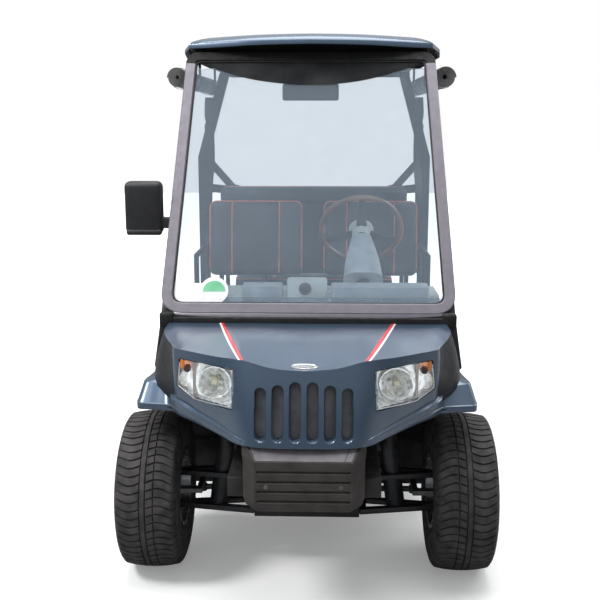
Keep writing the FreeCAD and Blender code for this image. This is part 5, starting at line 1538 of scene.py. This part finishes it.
def make_belts():
    """A hanging belt and its ring on each strut."""
    rings, straps = bmesh.new(), bmesh.new()
    for side in SIDES:
        centre = Vector((side * BELT_TOP.x, BELT_TOP.y, BELT_TOP.z))
        wide, tall = BELT_RING
        angles = [math.tau * step / 24 for step in range(24)]
        loop = [centre + Vector((math.cos(angle) * wide, 0, math.sin(angle) * tall)) for angle in angles]
        tube(rings, loop, BELT_RING_RADIUS, 3, closed=True)
        upper, lower = [[centre + Vector((side * x, y, z)) for x, y, z in line]
                        for line in (BELT_UPPER, BELT_LOWER)]
        across, deep = ACROSS * BELT_UPPER_HALF, REARWARD * BELT_HALF_WALL
        skin(straps, [[spot - across - deep, spot + across - deep, spot + across + deep, spot - across + deep]
                      for spot in smooth_line(upper, 6)])
        line = smooth_line(lower, 10)
        sections = []
        for index, spot in enumerate(line):
            turn = BELT_TWIST * math.sin(index / len(line) * BELT_TWIST_TURNS)
            across = Vector((math.cos(turn), math.sin(turn), 0)) * BELT_LOWER_HALF
            deep = Vector((-math.sin(turn), math.cos(turn), 0)) * BELT_HALF_WALL
            sections.append([spot - across - deep, spot + across - deep,
                             spot + across + deep, spot - across + deep])
        skin(straps, sections)
    piece_of("belt_rings", rings, "chassis", "frame_black", BLACK_METAL)
    piece_of("belt_straps", straps, "chassis", "liner_black", WEBBING, sharp=50)


def make_roof():
    make_roof_panel()
    make_roof_frame()
    make_belts()


# Side curtains, rolled up under the roof

ROLL_CENTRE = Vector((0.486, 0, 1.636))
ROLL_FRONT = -0.350
ROLL_LENGTH = 1.24
ROLL_RADIUS = 0.0372
ROLL_PITCH = 0.0048
ROLL_TURNS = 6.2
ROLL_WALL = 0.0022
ROLL_STEPS = 26
ROLL_SAG = 0.016
STRAP_PLACES = (-0.26, 0.02, 0.52, 0.80)
STRAP_RADIUS = 0.0385
STRAP_HALF = 0.012
STRAP_WALL = 0.0012
# The strap's hanger up to the rail: its place across, its half thickness, its foot and head.
HANGER_X = 0.452
HANGER_HALF = 0.004
HANGER_Z = (1.640, 1.738)


def roll_spiral(radius, pitch, turns):
    """A spiral from the outside of a roll to its middle."""
    points = []
    total = int(turns * ROLL_STEPS)
    for step in range(total + 1):
        share = step / total
        angle = turns * math.tau * share
        reach = between(radius, radius - pitch * turns, share)
        points.append(Vector((math.cos(angle) * reach, math.sin(angle) * reach)))
    return points


def make_curtain_roll(side, label):
    """One curtain, rolled from its outside to its middle and a little slack between straps."""
    bm = bmesh.new()
    spiral = roll_spiral(ROLL_RADIUS, ROLL_PITCH, ROLL_TURNS)
    columns = len(spiral) - 1

    def roll_at(across, along):
        spot = spiral[round(across * columns)]
        y = ROLL_FRONT + ROLL_LENGTH * along
        sag = ROLL_SAG * noise.noise(Vector((y * 5, side * 3, across * 2)))
        return Vector((side * ROLL_CENTRE.x + side * spot.x * (1 + sag), y, ROLL_CENTRE.z + spot.y))

    mapped_grid(bm, columns, 40, roll_at)
    roll = piece_of(f"curtain_roll_{label}", bm, "chassis", "curtain_vinyl", CURTAIN_VINYL, sharp=60)
    if side > 0:
        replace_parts(roll, "curtain_rolls")
    thickened(roll, ROLL_WALL)


def make_curtain_straps(side, label):
    """The straps round a roll, each on its hanger."""
    straps = bmesh.new()
    angles = [math.tau * step / 32 for step in range(32)]
    low, high = side * HANGER_X - HANGER_HALF, side * HANGER_X + HANGER_HALF
    for y in STRAP_PLACES:
        centre = Vector((side * ROLL_CENTRE.x, y, ROLL_CENTRE.z))
        loop = [centre + Vector((math.cos(a), 0, math.sin(a))) * STRAP_RADIUS for a in angles]
        skin(straps, [[p + REARWARD * shift for p in loop] for shift in (-STRAP_HALF, STRAP_HALF)],
             capped=False)
        block(straps, (low, y - STRAP_HALF, HANGER_Z[0]), (high, y + STRAP_HALF, HANGER_Z[1]))
    bmesh.ops.recalc_face_normals(straps, faces=straps.faces)
    thickened(piece_of(f"curtain_straps_{label}", straps, "chassis", "curtain_vinyl", WEBBING), STRAP_WALL)


def make_curtain_rolls():
    for side, label in ((1, "left"), (-1, "right")):
        make_curtain_roll(side, label)
        make_curtain_straps(side, label)


# Mirrors, steering and dash

# The boxes of the mirrors: low and high corner, eased edge, and steps of it.
SIDE_MIRROR = (
    ((-0.627, -0.666, 1.100), (-0.499, -0.606, 1.280), 0.020, 4),
    ((-0.530, -0.652, 1.120), (-0.462, -0.622, 1.158), 0.006, 3),
)
SIDE_LIP = (((-0.622, -0.669, 1.098), (-0.502, -0.640, 1.118), 0.008, 4),)
SIDE_PANE = (((-0.620, -0.610, 1.110), (-0.506, -0.6045, 1.270), 0.0015, 2),)
INSIDE_MIRROR = (
    ((-0.1025, -0.352, 1.553), (0.1025, -0.334, 1.613), 0.008, 4),
    ((-0.012, -0.350, 1.600), (0.012, -0.335, 1.695), 0.003, 3),
)
INSIDE_PANE = (((-0.096, -0.336, 1.560), (0.096, -0.3305, 1.606), 0.0015, 2),)


def boxes_piece(name, boxes, body, slot, finish):
    """A piece made of boxes with eased edges."""
    bm = bmesh.new()
    for box in boxes:
        block(bm, *box)
    return piece_of(name, bm, body, slot, finish)


def make_mirrors():
    """The outside mirror on its arm, and the long inside mirror under the roof."""
    shell = boxes_piece("side_mirror_shell", SIDE_MIRROR, "chassis", "black_plastic", BLACK_PLASTIC)
    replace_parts(shell, "mirrors")
    for name, boxes, finish in (
            ("side_mirror_lip", SIDE_LIP, BLACK_PLASTIC), ("side_mirror_pane", SIDE_PANE, CHROME),
            ("inside_mirror", INSIDE_MIRROR, BLACK_PLASTIC), ("inside_mirror_pane", INSIDE_PANE, CHROME)):
        boxes_piece(name, boxes, "chassis", "black_plastic", finish)


HUB = Vector((0.190, -0.325, 1.080))
COLUMN_SLOPE = math.radians(32)
COLUMN = Vector((0, math.cos(COLUMN_SLOPE), math.sin(COLUMN_SLOPE)))
WHEEL_UP = COLUMN.cross(ACROSS).normalized()
GRIP_RADIUS = 0.149
GRIP_HALF = 0.0105
SPOKE_ANGLES = (200, 340, 90)
# A spoke from the hub out: how far, half width, and how far down the column.
SPOKE_LINE = ((0.030, 0.020, -0.016), (0.085, 0.014, -0.012), (0.143, 0.012, 0.0))
SPOKE_HALF_DEPTH = 0.004
HUB_PROFILE = ((-0.045, 0.0), (-0.045, 0.026), (-0.020, 0.034), (-0.008, 0.046), (0.004, 0.046),
               (0.012, 0.038), (0.015, 0.024), (0.016, 0.0))


def make_steering():
    """A thin wood-look rim, three spokes and a padded hub."""
    grip = bmesh.new()
    tube(grip, circle(HUB, COLUMN, GRIP_RADIUS, 96), GRIP_HALF, 6, closed=True)
    wheel = piece_of("wheel_rim_grip", grip, "steering_wheel", "wheel_rim", WOOD)
    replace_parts(wheel, "steering_wheel")
    spokes = bmesh.new()
    for angle in SPOKE_ANGLES:
        turn = math.radians(angle)
        way = ACROSS * math.cos(turn) - WHEEL_UP * math.sin(turn)
        side = COLUMN.cross(way).normalized()
        rings = []
        for reach, wide, drop in SPOKE_LINE:
            middle = HUB + way * reach + COLUMN * drop
            rings.append([middle + side * a * wide + COLUMN * b * SPOKE_HALF_DEPTH
                          for a, b in ((1, 1), (-1, 1), (-1, -1), (1, -1))])
        skin(spokes, rings)
    eased_edges(spokes, 0.002)
    piece_of("wheel_spokes", spokes, "steering_wheel", "wheel_rim", BLACK_METAL)
    hub = bmesh.new()
    turned(hub, HUB_PROFILE, HUB, COLUMN, 48)
    piece_of("wheel_hub", hub, "steering_wheel", "wheel_rim", DASH_PLASTIC)


# The dash's raised lids and middle pod: their ends across, and their sections as (y, z).
LID_ENDS = ((-0.222, -0.086), (0.078, 0.405))
LID_SECTION = ((-0.754, 0.880), (-0.736, 0.936), (-0.672, 0.940), (-0.664, 0.898))
POD_ENDS = (-0.072, 0.064)
POD_SECTION = ((-0.755, 0.878), (-0.721, 0.952), (-0.700, 0.960), (-0.668, 0.956), (-0.660, 0.898))
# A painted highlight: a pale line along each lid's front edge, and down its end.
LID_LINE_IN = 0.004
LID_LINE_TOP = (-0.7365, 0.9345)
LID_LINE_FOOT = (-0.7525, 0.8830)
KNOB_AT = (-0.010, -0.7355, 0.928)
KNOB = ((-0.004, 0.0), (-0.004, 0.021), (0.002, 0.021), (0.003, 0.017), (0.009, 0.016),
        (0.010, 0.013), (0.010, 0.0))
# The column's shroud below the hub: how far down, half width and half height.
SHROUD_START = 0.055
SHROUD = ((0.0, 0.026, 0.024), (0.008, 0.036, 0.034), (0.080, 0.050, 0.044), (0.150, 0.062, 0.048),
          (0.245, 0.070, 0.050))
SHROUD_SQUARE = 0.55


def squared(value):
    """Draws a circle's coordinate out towards a square's."""
    return math.copysign(abs(value) ** SHROUD_SQUARE, value)


def dash_box(name, ends, section, width, finish, **options):
    """Parts of the dash that have the same section from end to end."""
    bm = bmesh.new()
    for pair in ends:
        skin(bm, [[Vector((x, y, z)) for y, z in section] for x in pair])
    eased_edges(bm, width)
    piece_of(name, bm, "chassis", "dash_plastic", finish, **options)


def make_dash():
    """The dash with its raised lids, a middle pod with a knob, and the column's shroud."""
    softened("dash_panel", "chassis", "dash_plastic", DASH_PLASTIC, 0.006)
    dash_box("dash_lids", LID_ENDS, LID_SECTION, 0.005, LID_GREY)
    # Painted highlights: pale cords along the lids' front edges and down their ends.
    lines = bmesh.new()
    for low, high in LID_ENDS:
        start, end = low + LID_LINE_IN, high - LID_LINE_IN
        corners = ((start, *LID_LINE_TOP), (end, *LID_LINE_TOP), (end, *LID_LINE_FOOT))
        tube(lines, [Vector(corner) for corner in corners], 0.0016, 3)
    piece_of("dash_lid_painted_highlights", lines, "chassis", "dash_plastic", WHITE_TAPE_AND_HIGHLIGHT)
    dash_box("dash_pod", (POD_ENDS,), POD_SECTION, 0.009, DASH_PLASTIC, sharp=50)
    knob = bmesh.new()
    turned(knob, KNOB, KNOB_AT, PANE_OUT, 32)
    piece_of("dash_knob", knob, "chassis", "black_plastic", WARM_DARK)
    shroud = bmesh.new()
    angles = [math.tau * step / 40 for step in range(40)]
    rings = []
    for along, wide, tall in SHROUD:
        middle = HUB - COLUMN * (SHROUD_START + along)
        rings.append([middle + ACROSS * wide * squared(math.cos(angle))
                      + WHEEL_UP * tall * squared(math.sin(angle)) for angle in angles])
    skin(shroud, rings)
    piece_of("column_shroud", shroud, "chassis", "dash_plastic", LID_GREY, sharp=50)


# Seats

# A pad: its size, the radius of its edges, the seams across it, those of them with
# piping, how far under its face the piping round it lies, and whether it goes all round.
Pad = namedtuple("Pad", "size radius seams piped ring_drop all_round")
FRONT_BACK = Pad((0.418, 0.334, 0.080), 0.030, (-0.105, 0.105), (-0.105, 0.105), 0.020, False)
FRONT_CUSHION = Pad((0.910, 0.430, 0.098), 0.026, (-0.36, -0.15, 0.0, 0.15, 0.36),
                    (-0.36, -0.15, 0.15, 0.36), 0.018, True)
REAR_BACK = Pad((0.850, 0.392, 0.076), 0.030, (-0.21, 0.0, 0.21), (-0.21, 0.21), 0.020, False)
REAR_CUSHION = Pad((0.756, 0.318, 0.096), 0.026, (-0.19, 0.0, 0.19), (-0.19, 0.19), 0.018, True)
# Where the pads stand or lie: the backs' lower and upper middles, the cushions' middles.
FRONT_BACK_LINE = ((0, 0.2961, 0.7995), (0, 0.3525, 1.1320))
FRONT_BACK_X = 0.255
REAR_BACK_LINE = ((0, 0.5165, 0.8000), (0, 0.4320, 1.1900))
FRONT_CUSHION_AT = (0, -0.010, 0.705)
REAR_CUSHION_AT = (0, 0.7325, 0.7055)
# The boards under the cushions and the cover behind the front backs: corners, eased edge, steps.
FRONT_BOARD = ((-0.455, -0.225, 0.6405), (0.455, 0.205, 0.658), 0.004, 2)
REAR_BOARD = ((-0.385, 0.5705, 0.6405), (0.385, 0.8945, 0.6555), 0.004, 2)
BACK_COVER = ((-0.420, 0.366, 0.800), (0.420, 0.386, 1.120), 0.006, 3)
PAD_QUAD = 0.011
PAD_CROWN = 0.008
SEAM_DEPTH = 0.007
SEAM_WIDTH = 0.006
# What holds still when the covers swell: the part below this height, and beyond this
# share of the way to the edge.
HELD_BELOW = 0.3
HELD_BEYOND = 0.965
SWELL_FRAMES = 20
SWELL_MOST = 0.009
PIPING_STEPS = 24
PIPING_LINE = 0.0032
PIPING_LINE_SUNK = 0.0055
PIPING_RING = 0.0030
PIPING_RING_IN = 0.004
CORNER_TURNS = 6


def padded_box(bm, size, radius):
    """A box of even quads with round edges, its middle at the origin."""
    half = Vector(size) / 2
    for axis in range(3):
        a, b = (axis + 1) % 3, (axis + 2) % 3
        for side in SIDES:
            def side_at(across, along, axis=axis, a=a, b=b, side=side):
                spot = Vector()
                spot[axis] = side * half[axis]
                spot[a] = (across - 0.5) * size[a]
                spot[b] = (along - 0.5) * size[b]
                core = Vector([min(max(spot[k], -half[k] + radius), half[k] - radius) for k in range(3)])
                return core + (spot - core).normalized() * radius
            mapped_grid(bm, max(4, round(size[a] / PAD_QUAD)), max(4, round(size[b] / PAD_QUAD)), side_at)
    bmesh.ops.remove_doubles(bm, verts=bm.verts, dist=PAD_QUAD / 8)
    bmesh.ops.recalc_face_normals(bm, faces=bm.faces)


def make_pad(name, node, body, pad, place):
    """A sewn cushion: its face is crowned, and drawn in at the seams across it."""
    bm = bmesh.new()
    padded_box(bm, pad.size, pad.radius)
    half = Vector(pad.size) / 2
    bm.verts.index_update()
    held = []
    for vert in bm.verts:
        u, v, w = vert.co.x / half.x, vert.co.y / half.y, vert.co.z / half.z
        near = min(abs(vert.co.x - seam) for seam in pad.seams)
        if w > 0:
            vert.co.z += PAD_CROWN * (1 - u ** 4) * (1 - v ** 4) * w - PAD_CROWN
        if w > 0.5:
            vert.co.z -= SEAM_DEPTH * math.exp(-(near / SEAM_WIDTH) ** 2)
        border = max(abs(u), abs(v))
        if vert.co.z < half.z * HELD_BELOW or near < SEAM_WIDTH or border > HELD_BEYOND:
            held.append(vert.index)
    bmesh.ops.transform(bm, matrix=place, verts=bm.verts)
    cushion = piece_of(name, bm, body, "seat_vinyl", SEAT_VINYL, sharp=60)
    if node:
        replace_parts(cushion, node)
    cushion.vertex_groups.new(name="seams").add(held, 1.0, "REPLACE")
    return cushion


def swell(pads):
    """Lets air pressure fill the covers between their seams, then keeps that shape."""
    for pad in pads:
        cloth = pad.modifiers.new("cover", "CLOTH")
        cloth.settings.quality = 6
        cloth.settings.mass = 0.4
        cloth.settings.tension_stiffness = 30
        cloth.settings.compression_stiffness = 30
        cloth.settings.shear_stiffness = 12
        cloth.settings.bending_stiffness = 4
        cloth.settings.use_pressure = True
        cloth.settings.uniform_pressure_force = 5
        cloth.settings.vertex_group_mass = "seams"
        cloth.settings.effector_weights.gravity = 0
        cloth.collision_settings.use_collision = False
        cloth.point_cache.frame_start = 1
        cloth.point_cache.frame_end = SWELL_FRAMES
    for number in range(1, SWELL_FRAMES + 1):
        SCENE.frame_set(number)
    view = bpy.context.evaluated_depsgraph_get()
    swollen = [[vert.co.copy() for vert in pad.evaluated_get(view).data.vertices] for pad in pads]
    for pad, ends in zip(pads, swollen):
        pad.modifiers.clear()
        for vert, end in zip(pad.data.vertices, ends):
            move = end - vert.co
            if move.length > SWELL_MOST:
                move *= SWELL_MOST / move.length
            vert.co += move
    SCENE.frame_set(1)


def upright(line, middle_x, way):
    """Places a pad that leans from its bottom to its top and faces forward (1) or back (-1)."""
    bottom, top = [Vector(end) for end in line]
    up = (top - bottom).normalized()
    out = Vector((0, -up.z, up.y)) * way
    place = Matrix((ACROSS * way, up, out)).transposed().to_4x4()
    place.translation = (bottom + top) / 2 + ACROSS * middle_x
    return place


def add_piping(bm, pad, place):
    """Cords of piping over a pad's face at its seams and round its edge."""
    half, radius = Vector(pad.size) / 2, pad.radius
    for seam in pad.piped:
        points = []
        for step in range(PIPING_STEPS + 1):
            along = (step / PIPING_STEPS - 0.5) * 2 * (half.y - radius * 0.4)
            past = max(0, abs(along) - (half.y - radius))
            drop = radius - math.sqrt(max(radius ** 2 - past ** 2, 0)) if past else 0
            points.append(place @ Vector((seam, along, half.z - drop - PIPING_LINE_SUNK)))
        tube(bm, points, PIPING_LINE, 3)
    corner = radius * 1.1
    points = []
    for side_x, side_y, start in ((1, -1, 270), (1, 1, 0), (-1, 1, 90), (-1, -1, 180)):
        for step in range(CORNER_TURNS + 1):
            angle = math.radians(start + step * 90 / CORNER_TURNS)
            points.append(place @ Vector((
                side_x * (half.x - corner) + math.cos(angle) * (corner - PIPING_RING_IN),
                side_y * (half.y - corner) + math.sin(angle) * (corner - PIPING_RING_IN),
                half.z - pad.ring_drop)))
    if not pad.all_round:
        points = points[CORNER_TURNS:-CORNER_TURNS]
    tube(bm, points, PIPING_RING, 3, closed=pad.all_round)


def make_seats():
    """Two front backs over a bench, and a back and cushion that face the rear."""
    pads, back_cords, front_cords, rear_cords = [], bmesh.new(), bmesh.new(), bmesh.new()
    for side, label in ((1, "left"), (-1, "right")):
        place = upright(FRONT_BACK_LINE, side * FRONT_BACK_X, 1)
        node = "front_seat_backs" if side > 0 else None
        pads.append(make_pad(f"front_back_{label}", node, "chassis", FRONT_BACK, place))
        add_piping(back_cords, FRONT_BACK, place)
    place = Matrix.Translation(FRONT_CUSHION_AT)
    pads.append(make_pad("front_cushion", "front_seat_cushion", "front_seat", FRONT_CUSHION, place))
    add_piping(front_cords, FRONT_CUSHION, place)
    boxes_piece("front_cushion_board", [FRONT_BOARD], "front_seat", "black_plastic", BLACK_PLASTIC)
    place = upright(REAR_BACK_LINE, 0.0, -1)
    pads.append(make_pad("rear_back", "rear_seat_back", "chassis", REAR_BACK, place))
    add_piping(back_cords, REAR_BACK, place)
    place = Matrix.Translation(REAR_CUSHION_AT)
    pads.append(make_pad("rear_cushion", "rear_seat_cushion", "rear_seat", REAR_CUSHION, place))
    add_piping(rear_cords, REAR_CUSHION, place)
    boxes_piece("rear_cushion_board", [REAR_BOARD], "rear_seat", "black_plastic", BLACK_PLASTIC)
    swell(pads)
    piece_of("back_piping", back_cords, "chassis", "seat_vinyl", PIPING)
    piece_of("front_cushion_piping", front_cords, "front_seat", "seat_vinyl", PIPING)
    piece_of("rear_cushion_piping", rear_cords, "rear_seat", "seat_vinyl", PIPING)
    boxes_piece("back_cover", [BACK_COVER], "chassis", "black_plastic", BLACK_PLASTIC)


# Wheels

# Each wheel: its name, the middle of its tyre across and along the cart, and its outer side.
WHEELS = (
    ("front_left", 0.5075, -0.835, 1),
    ("front_right", -0.5075, -0.835, -1),
    ("rear_left", 0.5075, 0.835, 1),
    ("rear_right", -0.5075, 0.835, -1),
)
WHEEL_HEIGHT = 0.260
# A tyre's side wall from its bead to its shoulder: how far from the tyre's middle, and radius.
TYRE_SIDE = ((0.0815, 0.1300), (0.0900, 0.1345), (0.0955, 0.1440), (0.0985, 0.1560), (0.0990, 0.1590),
             (0.1005, 0.1600), (0.1018, 0.1760), (0.1023, 0.1920), (0.1018, 0.2060), (0.1000, 0.2190),
             (0.0990, 0.2200), (0.0975, 0.2260), (0.0960, 0.2330), (0.0925, 0.2410), (0.0885, 0.2462))
TREAD_RADIUS = 0.2598
TREAD_HALF = 0.0845
SHOULDER_DROP = 0.0095
SHOULDER_ROUND = 2.2
TREAD_STATIONS = (-0.0845, -0.078, -0.070, -0.062, -0.054, -0.046, -0.038, -0.022, -0.013, 0.0045,
                  0.022, 0.030, 0.038, 0.046, 0.054, 0.062, 0.070, 0.078, 0.0845)
# The grooves round the tyre, and the section of each: across, and share of the depth.
TREAD_GROOVES = (-0.0300, -0.0045, 0.0135)
TREAD_GROOVE = ((-0.0022, 0.0), (-0.0013, 1.0), (0.0013, 1.0), (0.0022, 0.0))
TREAD_DEPTH = 0.0062
# The blocks round the tyre: the steps of one, those of them that lie in the groove
# between two, and that groove's share of the depth.
PITCHES = 60
PITCH_STEPS = (0.0, 0.05, 0.19, 0.24, 0.50, 0.76)
GROOVE_STEPS = (1, 2)
BLOCK_GROOVE = 0.9
# How the blocks' edges run ahead: the height of the curve, and what it has gained at the shoulder.
OUTER_CURVE = (-0.046, 0.012)
INNER_CURVE = (0.050, -0.020)
CURVE_END = 1.15
# The notches in the shoulder: between which distances and from which radius, and their depths.
NOTCH_ACROSS = (0.0885, 0.0998)
NOTCH_RADIUS = 0.222
NOTCH_DEPTH = 0.0020
NOTCH_INSET = 0.0016
NUTS = 4
NUT_CIRCLE = 0.030
NUT_OUT = 0.030
NUT = ((-0.010, 0.0), (-0.010, 0.009), (0.012, 0.009), (0.018, 0.005), (0.019, 0.0))


def tyre_rows():
    """The section of a tyre from bead to bead: across, radius, depth share, and if blocks cross it."""
    columns = [(x, 0.0) for x in TREAD_STATIONS]
    for middle in TREAD_GROOVES:
        columns += [(middle + across, deep) for across, deep in TREAD_GROOVE]
    rows = [(-x, radius, 0.0, False) for x, radius in TYRE_SIDE]
    for x, deep in sorted(columns):
        radius = TREAD_RADIUS - SHOULDER_DROP * abs(x / TREAD_HALF) ** SHOULDER_ROUND
        rows.append((x, radius, deep, not TREAD_GROOVES[1] < x < TREAD_GROOVES[2]))
    return rows + [(x, radius, 0.0, False) for x, radius in reversed(TYRE_SIDE)]


def tread_curve(offset):
    """How far round the tyre a block's edge runs ahead: a dip outside the middle rib, a hill inside it."""
    inner, outer = TREAD_GROOVES[1], TREAD_GROOVES[2]
    if offset > outer:
        share, (height, gain) = (offset - outer) / (TREAD_HALF - outer), OUTER_CURVE
    elif offset < inner:
        share, (height, gain) = (inner - offset) / (TREAD_HALF + inner), INNER_CURVE
    else:
        return 0.0
    return height * math.sin(math.pi * min(share, 1)) + gain * min(share, CURVE_END)


def make_tyre(node, body, x, y, outward):
    """A street tyre: a plain middle rib, and curved blocks to each shoulder."""
    bm = bmesh.new()
    rows = tyre_rows()
    centre = Vector((x, y, WHEEL_HEIGHT))
    around = PITCHES * len(PITCH_STEPS)

    def tyre_at(across, along):
        offset, radius, deep, crossed = rows[round(across * (len(rows) - 1))]
        pitch, step = divmod(round(along * around), len(PITCH_STEPS))
        turn = (pitch + PITCH_STEPS[step]) / PITCHES * math.tau + tread_curve(offset)
        notched = NOTCH_ACROSS[0] < abs(offset) < NOTCH_ACROSS[1] and radius > NOTCH_RADIUS
        if step in GROOVE_STEPS and crossed:
            deep = max(deep, BLOCK_GROOVE)
        elif step in GROOVE_STEPS and notched:
            radius -= NOTCH_DEPTH
            offset -= math.copysign(NOTCH_INSET, offset)
        radius -= TREAD_DEPTH * deep
        return centre + Vector((offset * outward, math.sin(turn) * radius, math.cos(turn) * radius))

    mapped_grid(bm, len(rows) - 1, around, tyre_at)
    bmesh.ops.remove_doubles(bm, verts=bm.verts, dist=0.0001)
    bmesh.ops.bridge_loops(bm, edges=[e for e in bm.edges if e.is_boundary])
    bmesh.ops.recalc_face_normals(bm, faces=bm.faces)
    tyre = piece_of(f"{node}_tread", bm, body, "tyre_rubber", RUBBER, sharp=38)
    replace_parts(tyre, node)


def make_wheels():
    """The tyres on their alloy rims, each with four nuts."""
    for label, x, y, outward in WHEELS:
        body = f"wheel_{label}"
        make_tyre(f"tyre_{label}", body, x, y, outward)
        softened(f"rim_{label}", body, "rim_alloy", RIM_ALLOY, 0.0015)
        nuts = bmesh.new()
        for number in range(NUTS):
            turn = math.tau * (number + 0.5) / NUTS
            spot = Vector((x + outward * NUT_OUT, y + math.sin(turn) * NUT_CIRCLE,
                           WHEEL_HEIGHT + math.cos(turn) * NUT_CIRCLE))
            turned(nuts, NUT, spot, ACROSS * outward, 6)
        piece_of(f"wheel_nuts_{label}", nuts, body, "rim_alloy", STEEL, sharp=20)


# Frame and running gear

# The nodes that keep their own shape: slot, finish, and how far their edges are eased.
CHASSIS_PARTS = (
    ("frame_rails", "frame_black", UNDERSIDE, 0.003),
    ("frame_crossmembers", "frame_black", UNDERSIDE, 0.003),
    ("front_suspension", "frame_black", BLACK_METAL, 0.0015),
    ("steering_gear", "frame_black", BLACK_METAL, 0.0015),
    ("rear_axle", "cast_grey", CAST, 0.002),
    ("drive_motor", "cast_grey", CAST, 0.003),
    ("rear_suspension", "frame_black", BLACK_METAL, 0.0015),
    ("battery_pack", "battery_case", BLACK_PLASTIC, 0.004),
    ("floor_pan", "floor_rubber", FLOOR_RUBBER, 0.003),
    ("sill_panels", "black_plastic", BLACK_PLASTIC, 0.004),
    ("pedals", "frame_black", BLACK_METAL, 0.002),
    ("seat_pod", "black_plastic", BLACK_PLASTIC, 0.006),
    ("seat_frame", "frame_black", BLACK_METAL, 0.0015),
    ("rear_body", "body_paint", PAINT, 0.008),
    ("rear_fenders", "body_paint", PAINT, 0.003),
    ("foot_deck", "frame_black", BLACK_METAL, 0.002),
    ("tail_lamps", "lamp_red", RED_LENS, 0.004),
)
STEERED_PARTS = (("knuckle_left", 0.0015), ("knuckle_right", 0.0015), ("tie_rods", 0.001))


def make_frame():
    for node, slot, finish, width in CHASSIS_PARTS:
        softened(node, "chassis", slot, finish, width)
    for node, width in STEERED_PARTS:
        softened(node, node, "cast_grey", CAST, width)


set_the_stage()
make_cowl()
make_grille_insert()
make_headlamps()
make_flares()
make_wheel_liners()
make_scuttle()
make_bumper()
make_windshield()
make_stripes()
make_roof()
make_curtain_rolls()
make_mirrors()
make_steering()
make_dash()
make_seats()
make_wheels()
make_frame()
